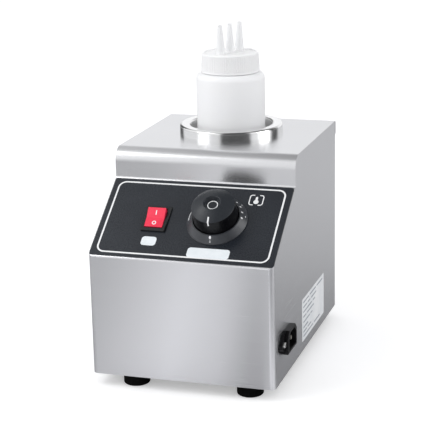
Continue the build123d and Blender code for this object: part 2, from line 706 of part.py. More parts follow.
with BuildPart() as switch_housing:
    with BuildSketch(CONTROL.offset(FILM_T)):
        with Locations((SWITCH_X, SWITCH_S)):
            RectangleRounded(SWITCH_FRAME_WIDTH, SWITCH_FRAME_LENGTH, SWITCH_CORNER_R)
    extrude(amount=SWITCH_FRAME_H)
    chamfer(faces().sort_by(OUTWARD)[-1].edges(), SWITCH_BEVEL)
    with BuildSketch(CONTROL.offset(FILM_T)):
        with Locations((SWITCH_X, SWITCH_S)):
            Rectangle(SWITCH_BODY_WIDTH, SWITCH_BODY_LENGTH)
    extrude(amount=-SWITCH_DEPTH)
    with BuildSketch(CONTROL.offset(PIVOT_H - ROCKER_R - ROCKER_UNDER)):
        with Locations((SWITCH_X, SWITCH_S)):
            Rectangle(*switch_cavity)
    extrude(amount=SWITCH_FRAME_H + SWITCH_DEPTH, mode=Mode.SUBTRACT)
    with BuildSketch(SWITCH_SIDE.offset(-SWITCH_BODY_WIDTH / 2)):
        Circle(PIVOT_R + RUNNING)
    extrude(amount=SWITCH_BODY_WIDTH, mode=Mode.SUBTRACT)
    # Snap ramps that hold the housing behind the sheet.
    for side in (-1, 1):
        with BuildSketch(CONTROL.offset(-SHEET - FIT)):
            with Locations((SWITCH_X + side * (SWITCH_BODY_WIDTH + SNAP) / 2, SWITCH_S)):
                Rectangle(SNAP, SNAP_LENGTH)
        extrude(amount=-SNAP_LENGTH)
switch_housing.part.label = "switch_housing"
export_step(switch_housing.part, "parts/switch_housing.step")


def rocked(along, out):
    """A point of the rocker in its middle position, turned to OFF, its lower end pressed in."""
    turned = Vector(along, out).rotate(Axis.Z, ROCKER_TILT)
    return (turned.X, turned.Y)


with BuildPart() as switch_rocker:
    with BuildSketch(SWITCH_SIDE.offset(-ROCKER_WIDTH / 2)):
        with BuildLine():
            skirt = ROCKER_R * sin(radians(45))
            Polyline(
                rocked(-rocker_end, rocker_wing),
                rocked(0, ROCKER_RISE),
                rocked(rocker_end, rocker_wing),
            )
            Line(rocked(rocker_end, rocker_wing), rocked(ROCKER_R, 0))
            ThreePointArc(rocked(ROCKER_R, 0), rocked(skirt, -skirt), rocked(0, -ROCKER_R))
            ThreePointArc(rocked(0, -ROCKER_R), rocked(-skirt, -skirt), rocked(-ROCKER_R, 0))
            Line(rocked(-ROCKER_R, 0), rocked(-rocker_end, rocker_wing))
        make_face()
    extrude(amount=ROCKER_WIDTH)
    with BuildSketch(SWITCH_SIDE.offset(-SWITCH_BODY_WIDTH / 2 + RUNNING)):
        Circle(PIVOT_R)
    extrude(amount=SWITCH_BODY_WIDTH - 2 * RUNNING)
switch_rocker.part.label = "switch_rocker"
export_step(switch_rocker.part, "parts/switch_rocker.step")

switch_back = FILM_T - SWITCH_DEPTH
blade_spots = [(SWITCH_X + x, SWITCH_S + s) for x in (-BLADE_X, BLADE_X) for s in (-BLADE_S, BLADE_S)]
with BuildPart() as switch_terminals:
    with BuildSketch(CONTROL.offset(switch_back)):
        with Locations(*blade_spots):
            Rectangle(BLADE_WIDTH, BLADE_T)
    extrude(amount=-BLADE_LENGTH)
switch_terminals.part.label = "switch_terminals"
export_step(switch_terminals.part, "parts/switch_terminals.step")

# ---------------------------------------------------------------- thermostat, dial and knob

KNOB_AXIS = Axis(CONTROL.from_local_coords((KNOB_X, KNOB_S, 0)), tuple(CONTROL.z_dir))
KNOB_PROFILE = side_cut(KNOB_X, KNOB_S)
stat_front = -SHEET - STAT_PLATE_T  # the thermostat's face, from the panel's outside
shaft_low = stat_front - SHAFT_IN

with BuildPart() as dial_bezel:
    with BuildSketch(KNOB_PROFILE):
        with BuildLine():
            Polyline(
                (BEZEL_BORE_R, FILM_T),
                (BEZEL_R, FILM_T),
                (BEZEL_R, FILM_T + BEZEL_EDGE),
                (BEZEL_BORE_R + BEZEL_LAND, BEZEL_HEIGHT),
                (BEZEL_BORE_R, BEZEL_HEIGHT),
                close=True,
            )
        make_face()
    revolve(axis=KNOB_AXIS)
    with BuildSketch(CONTROL.offset(FILM_T)):
        with Locations(*peg_spots):
            Circle(BEZEL_PEG_R)
    extrude(amount=-FILM_T - BEZEL_PEG_LENGTH)
dial_bezel.part.label = "dial_bezel"
export_step(dial_bezel.part, "parts/dial_bezel.step")

knob_rim = KNOB_BASE + KNOB_HEIGHT
with BuildPart() as knob_cap:
    with BuildSketch(KNOB_PROFILE):
        with BuildLine():
            dish_edge = knob_rim + KNOB_DOME * (1 - (KNOB_DISH_R / KNOB_TOP_R) ** 2)
            halfway = (KNOB_TOP_R + KNOB_DISH_R) / 2
            dish_floor = dish_edge - KNOB_DISH
            Polyline((KNOB_R - KNOB_WALL, KNOB_BASE), (KNOB_R, KNOB_BASE), (KNOB_TOP_R, knob_rim))
            ThreePointArc(
                (KNOB_TOP_R, knob_rim),
                (halfway, knob_rim + KNOB_DOME * (1 - (halfway / KNOB_TOP_R) ** 2)),
                (KNOB_DISH_R, dish_edge),
            )
            Polyline(
                (KNOB_DISH_R, dish_edge),
                (KNOB_DISH_FLOOR_R, dish_floor),
                (0, dish_floor),
                (0, KNOB_BASE + FIT),
                (KNOB_HUB_R, KNOB_BASE + FIT),
                (KNOB_HUB_R, knob_rim - KNOB_WALL),
                (KNOB_TOP_R - KNOB_WALL, knob_rim - KNOB_WALL),
                (KNOB_R - KNOB_WALL, KNOB_BASE),
            )
        make_face()
    revolve(axis=KNOB_AXIS)
    for rim_r in (KNOB_TOP_R, KNOB_DISH_R):
        fillet([e for e in edges().filter_by(GeomType.CIRCLE) if isclose(e.radius, rim_r)], KNOB_EDGE_R)
    # D-shaped bore for the shaft.
    with BuildSketch(CONTROL.offset(KNOB_BASE)):
        with Locations((KNOB_X, KNOB_S)):
            Circle(SHAFT_R + THREAD_GAP)
            with Locations((0, -SHAFT_R + SHAFT_FLAT - THREAD_GAP)):
                Rectangle(2 * SHAFT_R, SHAFT_R, align=(Align.CENTER, Align.MAX), mode=Mode.SUBTRACT)
    extrude(amount=SHAFT_TOP - KNOB_BASE + FIT, mode=Mode.SUBTRACT)
knob_cap.part.label = "knob_cap"
export_step(knob_cap.part, "parts/knob_cap.step")

with BuildPart() as thermostat_shaft:
    with BuildSketch(CONTROL.offset(shaft_low)):
        with Locations((KNOB_X, KNOB_S)):
            Circle(SHAFT_R)
    extrude(amount=SHAFT_TOP - shaft_low)
    with BuildSketch(CONTROL.offset(KNOB_BASE)):
        with Locations((KNOB_X, KNOB_S - SHAFT_R + SHAFT_FLAT)):
            Rectangle(2 * SHAFT_R, SHAFT_R, align=(Align.CENTER, Align.MAX))
    extrude(amount=SHAFT_TOP, mode=Mode.SUBTRACT)
thermostat_shaft.part.label = "thermostat_shaft"
export_step(thermostat_shaft.part, "parts/thermostat_shaft.step")

with BuildPart() as thermostat_plate:
    with BuildSketch(CONTROL.offset(-SHEET)):
        with Locations((KNOB_X, KNOB_S)):
            RectangleRounded(STAT_PLATE_WIDTH, STAT_PLATE_LENGTH, STAT_PLATE_R)
            Circle(BUSH_R + HOLE_GAP, mode=Mode.SUBTRACT)
        with Locations(*stat_screw_spots):
            Circle(M4.shank_r + THREAD_GAP, mode=Mode.SUBTRACT)
    extrude(amount=-STAT_PLATE_T)
thermostat_plate.part.label = "thermostat_plate"
export_step(thermostat_plate.part, "parts/thermostat_plate.step")

with BuildPart() as thermostat_body:
    with BuildSketch(CONTROL.offset(stat_front)):
        with Locations((KNOB_X, KNOB_S)):
            RectangleRounded(STAT_WIDTH, STAT_LENGTH, STAT_CORNER_R)
    extrude(amount=-STAT_DEPTH)
    # Clearance for the ends of the mounting screws.
    with BuildSketch(CONTROL.offset(stat_front)):
        with Locations(*stat_screw_spots):
            Circle(M4.shank_r + 2 * HOLE_GAP)
    extrude(amount=-STAT_SCREW_LENGTH, mode=Mode.SUBTRACT)
    with BuildSketch(CONTROL.offset(stat_front)):
        with Locations((KNOB_X, KNOB_S)):
            Circle(BUSH_R)
    extrude(amount=BUSH_TOP - stat_front)
    with BuildSketch(CONTROL.offset(BUSH_TOP)):
        with Locations((KNOB_X, KNOB_S)):
            Circle(SHAFT_R + RUNNING)
    extrude(amount=shaft_low - FIT - BUSH_TOP, mode=Mode.SUBTRACT)
    with BuildSketch(CONTROL.offset(stat_front - STAT_DEPTH)):
        with Locations((KNOB_X, KNOB_S + STAT_LENGTH / 4)):
            with GridLocations(STAT_WIDTH / 2, 0, 2, 1):
                Rectangle(BLADE_WIDTH, BLADE_T)
    extrude(amount=-BLADE_LENGTH)
thermostat_body.part.label = "thermostat_body"
export_step(thermostat_body.part, "parts/thermostat_body.step")

thermostat_screws = cross_screws(CONTROL.offset(FILM_T), stat_screw_spots, M4, STAT_SCREW_LENGTH)
thermostat_screws.part.label = "thermostat_screws"
export_step(thermostat_screws.part, "parts/thermostat_screws.step")

bulb_r = POT_R + BULB_R + HEATER_GAP
bulb_spot = (well_centre[0], well_centre[1] + bulb_r)
bulb_low = heater_low + (HEATER_HEIGHT - BULB_LENGTH) / 2
with BuildPart() as sensing_bulb:
    with BuildSketch(Plane.XY.offset(bulb_low)):
        with Locations(bulb_spot):
            Circle(BULB_R)
    extrude(amount=BULB_LENGTH)
    fillet(edges().filter_by(GeomType.CIRCLE), BULB_ROUND)
sensing_bulb.part.label = "sensing_bulb"
export_step(sensing_bulb.part, "parts/sensing_bulb.step")


def bend_radii(points):
    """For each corner of a route, 0.45 of its shorter run over the tangent of half the turn."""
    radii = []
    for before, here, after in zip(points, points[1:], points[2:]):
        run_in = Vector(*here) - Vector(*before)
        run_out = Vector(*after) - Vector(*here)
        turn = radians(run_in.get_angle(run_out))
        radii.append(0.45 * min(run_in.length, run_out.length) / tan(turn / 2))
    return radii


# The capillary leaves the bulb downwards, passes under the pot and rises to the thermostat's rear.
stat_back = CONTROL.from_local_coords((KNOB_X - 4.0, KNOB_S - STAT_LENGTH / 4, stat_front - STAT_DEPTH))
inward = -CONTROL.z_dir
capillary_route = [
    (bulb_spot[0], bulb_spot[1], bulb_low),
    (bulb_spot[0], bulb_spot[1], bulb_low - 16),
    (bulb_spot[0] + 12, bulb_spot[1] - 6, bulb_low - 34),
    (bulb_spot[0] + 24, bulb_spot[1] - 30, bulb_low - 43),
    (bulb_spot[0] + 27, bulb_spot[1] - 62, bulb_low - 44),
    (bulb_spot[0] + 25, bulb_spot[1] - 96, bulb_low - 38),
    (bulb_spot[0] + 24, stat_back.Y + 30, bulb_low - 14),
    tuple(stat_back + inward * 22),
    tuple(stat_back),
]
print("capillary bend radii", [round(r, 1) for r in bend_radii(capillary_route)])
with BuildPart() as capillary_tube:
    with BuildLine():
        FilletPolyline(*capillary_route, radius=bend_radii(capillary_route))
    with BuildSketch(Plane(origin=capillary_route[0], z_dir=(0, 0, -1))):
        Circle(CAPILLARY_R)
    sweep()
capillary_tube.part.label = "capillary_tube"
export_step(capillary_tube.part, "parts/capillary_tube.step")

# ---------------------------------------------------------------- mains inlet and label

inlet_floor = INLET_OUT - INLET_CAVITY_DEPTH
pin_spots = [
    (INLET_Y - PIN_SPREAD, INLET_Z - PIN_DROP),
    (INLET_Y, INLET_Z + PIN_DROP),
    (INLET_Y + PIN_SPREAD, INLET_Z - PIN_DROP),
]


def inlet_outline(width, height):
    """Corners of the inlet's section: a rectangle whose two upper corners are cut off."""
    low, high = INLET_Z - height / 2, INLET_Z + height / 2
    front, rear = INLET_Y - width / 2, INLET_Y + width / 2
    return [
        (front, low),
        (rear, low),
        (rear, high - INLET_CHAMFER),
        (rear - INLET_CHAMFER, high),
        (front + INLET_CHAMFER, high),
        (front, high - INLET_CHAMFER),
    ]


with BuildPart() as inlet_body:
    # A flat flange that narrows to an ear at each screw.
    with BuildSketch(SIDE):
        with BuildLine():
            root_y, root_z = INLET_SHROUD_WIDTH / 2 - INLET_CHAMFER, INLET_SHROUD_HEIGHT / 2
            ear_y, ear_z = INLET_PITCH / 2 + INLET_EAR_R * cos(radians(60)), INLET_EAR_R * sin(radians(60))
            quarter = [(root_y, root_z), (ear_y, ear_z)]
            above = [*quarter, *((y, -z) for y, z in reversed(quarter))]
            Polyline(*above, *((-y, z) for y, z in reversed(above)), close=True)
        ears = make_face(mode=Mode.PRIVATE)
        with Locations((INLET_Y, INLET_Z)):
            add(ears)
        with Locations(*inlet_screw_spots):
            Circle(INLET_EAR_R)
            Circle(M3.shank_r + HOLE_GAP, mode=Mode.SUBTRACT)
    extrude(amount=INLET_EAR_T)
    with BuildSketch(SIDE):
        with BuildLine():
            Polyline(*inlet_outline(INLET_SHROUD_WIDTH, INLET_SHROUD_HEIGHT), close=True)
        make_face()
    extrude(amount=INLET_OUT)
    fillet(faces().sort_by(Axis.X)[-1].edges(), INLET_EDGE_R)
    with BuildSketch(SIDE):
        with Locations((INLET_Y, INLET_Z)):
            Rectangle(INLET_CUT_WIDTH - 2 * INLET_CUT_GAP, INLET_CUT_HEIGHT - 2 * INLET_CUT_GAP)
    extrude(amount=-INLET_IN)
    with BuildSketch(SIDE.offset(inlet_floor)):
        with BuildLine():
            Polyline(*inlet_outline(INLET_CAVITY_WIDTH, INLET_CAVITY_HEIGHT), close=True)
        make_face()
    extrude(amount=2 * INLET_CAVITY_DEPTH, mode=Mode.SUBTRACT)
    with BuildSketch(SIDE.offset(-INLET_IN)):
        with Locations(*pin_spots):
            Rectangle(PIN_T, PIN_WIDTH)
    extrude(amount=INLET_IN, mode=Mode.SUBTRACT)
inlet_body.part.label = "inlet_body"
export_step(inlet_body.part, "parts/inlet_body.step")

with BuildPart() as inlet_pins:
    with BuildSketch(SIDE.offset(-INLET_IN)):
        with Locations(*pin_spots):
            Rectangle(PIN_T, PIN_WIDTH)
    extrude(amount=INLET_IN + inlet_floor + PIN_LENGTH)
    chamfer(faces().filter_by(Plane.YZ).group_by(Axis.X)[-1].edges(), PIN_T / 4)
    with BuildSketch(SIDE.offset(-INLET_IN)):
        with Locations(*pin_spots):
            Rectangle(BLADE_T, BLADE_WIDTH)
    extrude(amount=-TAB_LENGTH)
inlet_pins.part.label = "inlet_pins"
export_step(inlet_pins.part, "parts/inlet_pins.step")

inlet_screws = cross_screws(
    SIDE.offset(INLET_EAR_T),
    inlet_screw_spots,
    M3,
    INLET_EAR_T + SHEET + M3.nut_height + M3.shank_r,
)
inlet_screws.part.label = "inlet_screws"
export_step(inlet_screws.part, "parts/inlet_screws.step")

inlet_nuts = hex_nuts(
    Plane(origin=(RIGHT - SHEET, 0, BASE_Z), x_dir=(0, -1, 0), z_dir=(-1, 0, 0)),
    [(-y, z) for y, z in inlet_screw_spots],
    M3,
)
inlet_nuts.part.label = "inlet_nuts"
export_step(inlet_nuts.part, "parts/inlet_nuts.step")

with BuildPart() as rating_label:
    with BuildSketch(SIDE):
        with Locations((LABEL_Y, LABEL_Z)):
            RectangleRounded(*LABEL, LABEL_CORNER_R)
    extrude(amount=LABEL_T)
rating_label.part.label = "rating_label"
export_step(rating_label.part, "parts/rating_label.step")

for name, size, spot in (
    ("switch_plate", SWITCH_PLATE, SWITCH_PLATE_AT),
    ("dial_plate", DIAL_PLATE, DIAL_PLATE_AT),
):
    with BuildPart() as plate:
        with BuildSketch(CONTROL.offset(FILM_T)):
            with Locations(spot):
                RectangleRounded(*size, PLATE_CORNER_R)
        extrude(amount=PLATE_T)
    plate.part.label = name
    export_step(plate.part, f"parts/{name}.step")

# ---------------------------------------------------------------- earth point and wires

plate_z = BASE_Z + SHEET

with BuildPart() as earth_stud:
    with BuildSketch(Plane.XY.offset(plate_z)):
        with Locations(EARTH_AT):
            Circle(M4.shank_r)
    extrude(amount=EARTH_STUD_LENGTH)
earth_stud.part.label = "earth_stud"
export_step(earth_stud.part, "parts/earth_stud.step")

with BuildPart() as earth_lug:
    with BuildSketch(Plane.XY.offset(plate_z)):
        with Locations(EARTH_AT):
            Circle(M4.head_r)
            Rectangle(2 * BARREL_R, LUG_REACH - BARREL_LENGTH / 2, align=(Align.CENTER, Align.MAX))
            Circle(M4.shank_r + HOLE_GAP, mode=Mode.SUBTRACT)
    extrude(amount=LUG_T)
    with BuildSketch(Plane.XZ.offset(LUG_REACH - EARTH_AT[1])):
        with Locations((EARTH_AT[0], plate_z + BARREL_R)):
            Circle(BARREL_R)
    extrude(amount=-BARREL_LENGTH)
earth_lug.part.label = "earth_lug"
export_step(earth_lug.part, "parts/earth_lug.step")

earth_nut = hex_nuts(Plane.XY.offset(plate_z + LUG_T), [EARTH_AT], M4)
earth_nut.part.label = "earth_nut"
export_step(earth_nut.part, "parts/earth_nut.step")


def switch_blade(x, s):
    """The free end of one of the switch's blades."""
    return CONTROL.from_local_coords((SWITCH_X + x, SWITCH_S + s, switch_back - BLADE_LENGTH))


def stat_blade(x):
    """The free end of one of the thermostat's blades."""
    spot = (KNOB_X + x, KNOB_S + STAT_LENGTH / 4, stat_front - STAT_DEPTH - BLADE_LENGTH)
    return CONTROL.from_local_coords(spot)


def inlet_tab(index):
    """The free end of one of the inlet's tabs."""
    return SIDE.from_local_coords((*pin_spots[index], -INLET_IN - TAB_LENGTH))


def cutout_blade(side):
    """The free end of one of the cut-out's blades."""
    x, y = well_centre
    return Vector(x, y + side * CUTOUT_R / 2, POT_LOW - CUTOUT_HEIGHT - BLADE_LENGTH)


def heater_end(angle):
    """Where a lead meets the heater band's lower edge."""
    r = heater_r + HEATER_T / 2
    return Vector(
        well_centre[0] + r * cos(radians(angle)), well_centre[1] + r * sin(radians(angle)), heater_low
    )


def route(start, leave, between, arrive, end):
    """A wire's corners, from one terminal to another, by way of the points between."""
    return [tuple(start), tuple(start + leave), *between, tuple(end + arrive), tuple(end)]


into_case = Vector(-1, 0, 0)
down = Vector(0, 0, -1)
lug_end = Vector(EARTH_AT[0], EARTH_AT[1] - LUG_REACH, plate_z + BARREL_R)
wire_routes = {
    "wire_live_supply": route(
        inlet_tab(0), into_case * 14,
        [(30, -84, 56), (6, -76, 74), (-18, -66, 90)],
        inward * 18, switch_blade(BLADE_X, -BLADE_S),
    ),
    "wire_neutral_supply": route(
        inlet_tab(2), into_case * 15,
        [(28, -68, 52), (2, -60, 62), (-24, -54, 76), (-38, -54, 94)],
        inward * 18, switch_blade(-BLADE_X, -BLADE_S),
    ),
    "wire_live_switched": route(
        switch_blade(BLADE_X, BLADE_S), inward * 12,
        [(-22, -44, 117), (-6, -38, 112), (7, -40, 114)],
        inward * 12, stat_blade(-STAT_WIDTH / 4),
    ),
    "wire_live_controlled": route(
        stat_blade(STAT_WIDTH / 4), inward * 16,
        [(31, -34, 96), (27, -14, 72), (16, 10, 52), (4, 34, 43)],
        down * 14, cutout_blade(-1),
    ),
    "wire_live_heater": route(
        cutout_blade(1), down * 13,
        [(-18, 56, 44), (-36, 48, 50)],
        down * 34, heater_end(200),
    ),
    "wire_neutral_heater": route(
        switch_blade(-BLADE_X, BLADE_S), inward * 15,
        [(-44, -40, 104), (-46, -22, 84), (-45, -2, 70), (-43, 16, 64)],
        down * 30, heater_end(215),
    ),
    "wire_earth": route(
        inlet_tab(1), into_case * 10,
        [(46, -80, 42), (43, -77, 30), (44, -72, 20)],
        Vector(0, -8, 0), lug_end,
    ),
}
for name, corners in wire_routes.items():
    radii = bend_radii(corners)
    print(name, "bend radii", [round(r, 1) for r in radii])
    with BuildPart() as wire:
        with BuildLine():
            FilletPolyline(*corners, radius=radii)
        with BuildSketch(Plane(origin=corners[0], z_dir=Vector(*corners[1]) - Vector(*corners[0]))):
            Circle(WIRE_R)
        sweep()
    wire.part.label = name
    export_step(wire.part, f"parts/{name}.step")

# ---------------------------------------------------------------- bottle and its cap

shoulder_z = TOP_Z + BOTTLE_ABOVE + SHOULDER_R
neck_top = shoulder_z + NECK_HEIGHT
cap_low = shoulder_z + CAP_ABOVE
cap_top = cap_low + CAP_HEIGHT
cap_deck = cap_top - CAP_RIM
cap_ceiling = neck_top + SEAL_T

with BuildPart() as bottle_body:
    with BuildSketch(WELL_PROFILE):
        with BuildLine():
            outside = FilletPolyline(
                (0, WELL_FLOOR),
                (BOTTLE_R, WELL_FLOOR),
                (BOTTLE_R, shoulder_z),
                (NECK_R, shoulder_z),
                (NECK_R, neck_top),
                radius=[BOTTLE_FOOT_R, SHOULDER_R, NECK_WALL / 2],
            )
            inside = FilletPolyline(
                (0, WELL_FLOOR + BOTTLE_WALL),
                (BOTTLE_R - BOTTLE_WALL, WELL_FLOOR + BOTTLE_WALL),
                (BOTTLE_R - BOTTLE_WALL, shoulder_z - BOTTLE_WALL),
                (NECK_R - NECK_WALL, shoulder_z - BOTTLE_WALL),
                (NECK_R - NECK_WALL, neck_top),
                radius=[BOTTLE_FOOT_R - BOTTLE_WALL, SHOULDER_R - BOTTLE_WALL, NECK_WALL],
            )
            Line(outside @ 0, inside @ 0)
            Line(outside @ 1, inside @ 1)
        make_face()
    revolve(axis=WELL_AXIS)
bottle_body.part.label = "bottle_body"
export_step(bottle_body.part, "parts/bottle_body.step")

with BuildPart() as cap_seal:
    with BuildSketch(Plane.XY.offset(neck_top)):
        with Locations(well_centre):
            Circle(NECK_R)
            Circle(NECK_R - SEAL_WIDTH, mode=Mode.SUBTRACT)
    extrude(amount=SEAL_T)
cap_seal.part.label = "cap_seal"
export_step(cap_seal.part, "parts/cap_seal.step")

with BuildPart() as bottle_cap:
    with BuildSketch(WELL_PROFILE):
        with BuildLine():
            Polyline(
                (NECK_R + CAP_FIT, cap_low),
                (CAP_R, cap_low),
                (CAP_R, cap_low + CAP_BAND),
                (CAP_TOP_R, cap_top),
                (CAP_TOP_R - CAP_RIM_WIDTH, cap_top),
                (CAP_TOP_R - CAP_RIM_WIDTH, cap_deck),
                (TURRET_R, cap_deck),
                (TURRET_R - CAP_RIM, cap_top),
                (0, cap_top),
                (0, cap_ceiling),
                (NECK_R + CAP_FIT, cap_ceiling),
                close=True,
            )
        make_face()
    revolve(axis=WELL_AXIS)
    fillet(edges().filter_by(GeomType.CIRCLE).group_by(Axis.Z)[-1].sort_by(SortBy.LENGTH)[-1], CAP_ROUND)
    for k in range(NOZZLE_COUNT):
        place = k - (NOZZLE_COUNT - 1) / 2
        row = Vector(cos(radians(NOZZLE_TURN)), sin(radians(NOZZLE_TURN)), 0)
        lean = row * sin(radians(NOZZLE_SPLAY * place)) + Vector(0, 0, cos(radians(NOZZLE_SPLAY * place)))
        seat = Vector(*well_centre, cap_top) + row * (NOZZLE_PITCH * place)
        nozzle = Plane(origin=seat, x_dir=(row.Y, -row.X, 0), z_dir=lean)
        with BuildSketch(nozzle.offset(cap_deck - cap_top)):
            Circle(NOZZLE_R)
        with BuildSketch(nozzle.offset(NOZZLE_LENGTH)):
            Circle(NOZZLE_TIP_R)
        loft()
        with BuildSketch(nozzle.offset(cap_ceiling - cap_top - NOZZLE_BORE_R)):
            Circle(NOZZLE_BORE_R)
        with BuildSketch(nozzle.offset(NOZZLE_LENGTH)):
            Circle(NOZZLE_TIP_BORE_R)
        loft(mode=Mode.SUBTRACT)
bottle_cap.part.label = "bottle_cap"
export_step(bottle_cap.part, "parts/bottle_cap.step")
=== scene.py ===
import json
import math

import bmesh
import bpy
from mathutils import Matrix, Vector


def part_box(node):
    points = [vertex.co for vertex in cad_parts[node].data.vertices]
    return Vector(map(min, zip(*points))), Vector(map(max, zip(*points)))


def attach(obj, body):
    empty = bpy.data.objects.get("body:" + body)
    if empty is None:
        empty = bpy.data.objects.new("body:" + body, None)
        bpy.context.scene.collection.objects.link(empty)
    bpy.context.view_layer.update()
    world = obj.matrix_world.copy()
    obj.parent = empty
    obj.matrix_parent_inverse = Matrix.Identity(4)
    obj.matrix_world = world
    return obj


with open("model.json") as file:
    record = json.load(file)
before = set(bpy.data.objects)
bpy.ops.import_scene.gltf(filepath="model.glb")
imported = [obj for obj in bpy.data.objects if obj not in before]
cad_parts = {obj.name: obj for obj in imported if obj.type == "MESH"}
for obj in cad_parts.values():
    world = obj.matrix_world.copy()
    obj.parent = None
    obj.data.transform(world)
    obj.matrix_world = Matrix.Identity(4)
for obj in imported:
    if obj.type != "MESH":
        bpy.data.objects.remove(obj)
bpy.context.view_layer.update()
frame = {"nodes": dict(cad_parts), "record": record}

MM = 0.001

# ---- Where things are, in millimetres ----------------------------------------------------

CASE_X = -3.0
PANEL_FOOT = Vector((CASE_X, -125.0, 129.0))
PANEL_RISE = 56.0
PANEL_SETBACK = 80.0
PANEL_SLANT = math.atan2(PANEL_RISE, PANEL_SETBACK)
UP_PANEL = Vector((0.0, math.cos(PANEL_SLANT), math.sin(PANEL_SLANT)))
OUT_OF_PANEL = Vector((0.0, -math.sin(PANEL_SLANT), math.cos(PANEL_SLANT)))
FILM_TOP = 0.4
BOTTLE_AXIS = (-5.0, 54.0)

# The dial on the panel, and the radius and height of what lies round its middle.
DIAL = (24.8, 50.6)
CONE_TOP = (23.5, 7.6)
CONE_FOOT = (29.0, 1.6)
KNOB_RIM = (20.5, 22.5)
KNOB_DOME = 5.6
DISH_RADIUS = 7.9
DISH_DEPTH = 3.8
DISH_FLOOR = KNOB_RIM[1] + KNOB_DOME * (1 - (DISH_RADIUS / KNOB_RIM[0]) ** 2) - DISH_DEPTH

SWITCH = (-34.6, 48.0)
ROCKER_PIVOT = -0.4
ROCKER_RISE = 4.4
ROCKER_WING = math.radians(7.0)
ROCKER_TILT = math.radians(12.0)

# Where a colour or a finish passes into another: the knob's face, above the panel and then along
# its normal, where a painted sheen makes the face lighter, the foot of the cap's nozzles, where a
# painted shade makes them darker, and the radius where the well's wall ends.
KNOB_FACE = (21.9, 22.4)
KNOB_SHEEN_EDGE = [OUT_OF_PANEL.dot(PANEL_FOOT) + height for height in KNOB_FACE]
CAP_SHADE_EDGE = (294.6, 299.0)
WELL_EDGE = (41.7, 42.3)


# ---- Small tools -------------------------------------------------------------------------

def on_panel(along, up, height):
    """A point of the slanted panel: across it, up the slope and out of it, in millimetres."""
    spot = PANEL_FOOT + Vector((along, 0.0, 0.0)) + UP_PANEL * up + OUT_OF_PANEL * height
    return spot * MM


def new_material(name):
    """A material and its shader."""
    material = bpy.data.materials.new(name)
    material.use_nodes = True
    return material, material.node_tree.nodes["Principled BSDF"]


def shader_of(material):
    return next(n for n in material.node_tree.nodes if n.type == "BSDF_PRINCIPLED")


def add_node(material, kind, **settings):
    node = material.node_tree.nodes.new(kind)
    for name, value in settings.items():
        setattr(node, name, value)
    return node


def join(material, source, target):
    material.node_tree.links.new(source, target)


def place_coordinates(material, stretch=(1.0, 1.0, 1.0)):
    """Coordinates fixed to the piece, in millimetres, squeezed or stretched by axis."""
    place = add_node(material, "ShaderNodeTexCoord")
    scale = add_node(material, "ShaderNodeVectorMath", operation="MULTIPLY")
    scale.inputs[1].default_value = [s / MM for s in stretch]
    join(material, place.outputs["Object"], scale.inputs[0])
    return scale.outputs[0]


def noise(material, coordinates, scale, detail=3.0, roughness=0.55):
    node = add_node(material, "ShaderNodeTexNoise")
    node.inputs["Scale"].default_value = scale
    node.inputs["Detail"].default_value = detail
    node.inputs["Roughness"].default_value = roughness
    join(material, coordinates, node.inputs["Vector"])
    return node.outputs["Fac"]


def spread(material, value, low, high, start=0.3, end=0.7):
    """Maps a value from start..end onto low..high."""
    node = add_node(material, "ShaderNodeMapRange")
    node.inputs["From Min"].default_value = start
    node.inputs["From Max"].default_value = end
    node.inputs["To Min"].default_value = low
    node.inputs["To Max"].default_value = high
    join(material, value, node.inputs["Value"])
    return node.outputs["Result"]


def tint(material, value, dark, light, start=0.3, end=0.7):
    """A colour that passes from dark to light as a value goes from start to end."""
    node = add_node(material, "ShaderNodeValToRGB")
    node.color_ramp.elements[0].position = start
    node.color_ramp.elements[0].color = (*dark, 1.0)
    node.color_ramp.elements[1].position = end
    node.color_ramp.elements[1].color = (*light, 1.0)
    join(material, value, node.inputs["Fac"])
    return node.outputs["Color"]


def mix_colour(material, share, first, second):
    """A colour that passes from the first to the second as share goes from 0 to 1."""
    node = add_node(material, "ShaderNodeMix", data_type="RGBA")
    for socket, value in ((0, share), (6, first), (7, second)):
        join(material, value, node.inputs[socket])
    return node.outputs[2]


def bump(material, shader, value, depth, strength):
    """Relief of the given depth in millimetres."""
    node = add_node(material, "ShaderNodeBump")
    node.inputs["Strength"].default_value = strength
    node.inputs["Distance"].default_value = depth * MM
    join(material, value, node.inputs["Height"])
    join(material, node.outputs["Normal"], shader.inputs["Normal"])


# ---- Materials ---------------------------------------------------------------------------

# The scale of a noise is in cycles per millimetre, and a relief in millimetres.
BRUSH_RELIEF = 0.002
BRUSH_STRENGTH = 0.15
WEAR_SCALE = 0.02
WEAR_SHARE = 0.35  # of the broad wear in the roughness, beside the brush lines
BROAD = 40.0  # grains across one change of colour
WELL_ROUGH = 0.5
SECOND_TONE_SCALE = 1.6
MILK_IOR = 1.5
MILK_SCATTER = 0.5  # share of the light that scatters inside
MILK_DEPTH = 0.001  # metres
MILK_WAVES_SCALE = 0.03
MILK_GRAIN_SCALE = 1.2
MILK_ROUGH_SPREAD = 0.05
MILK_STRENGTH = 0.4


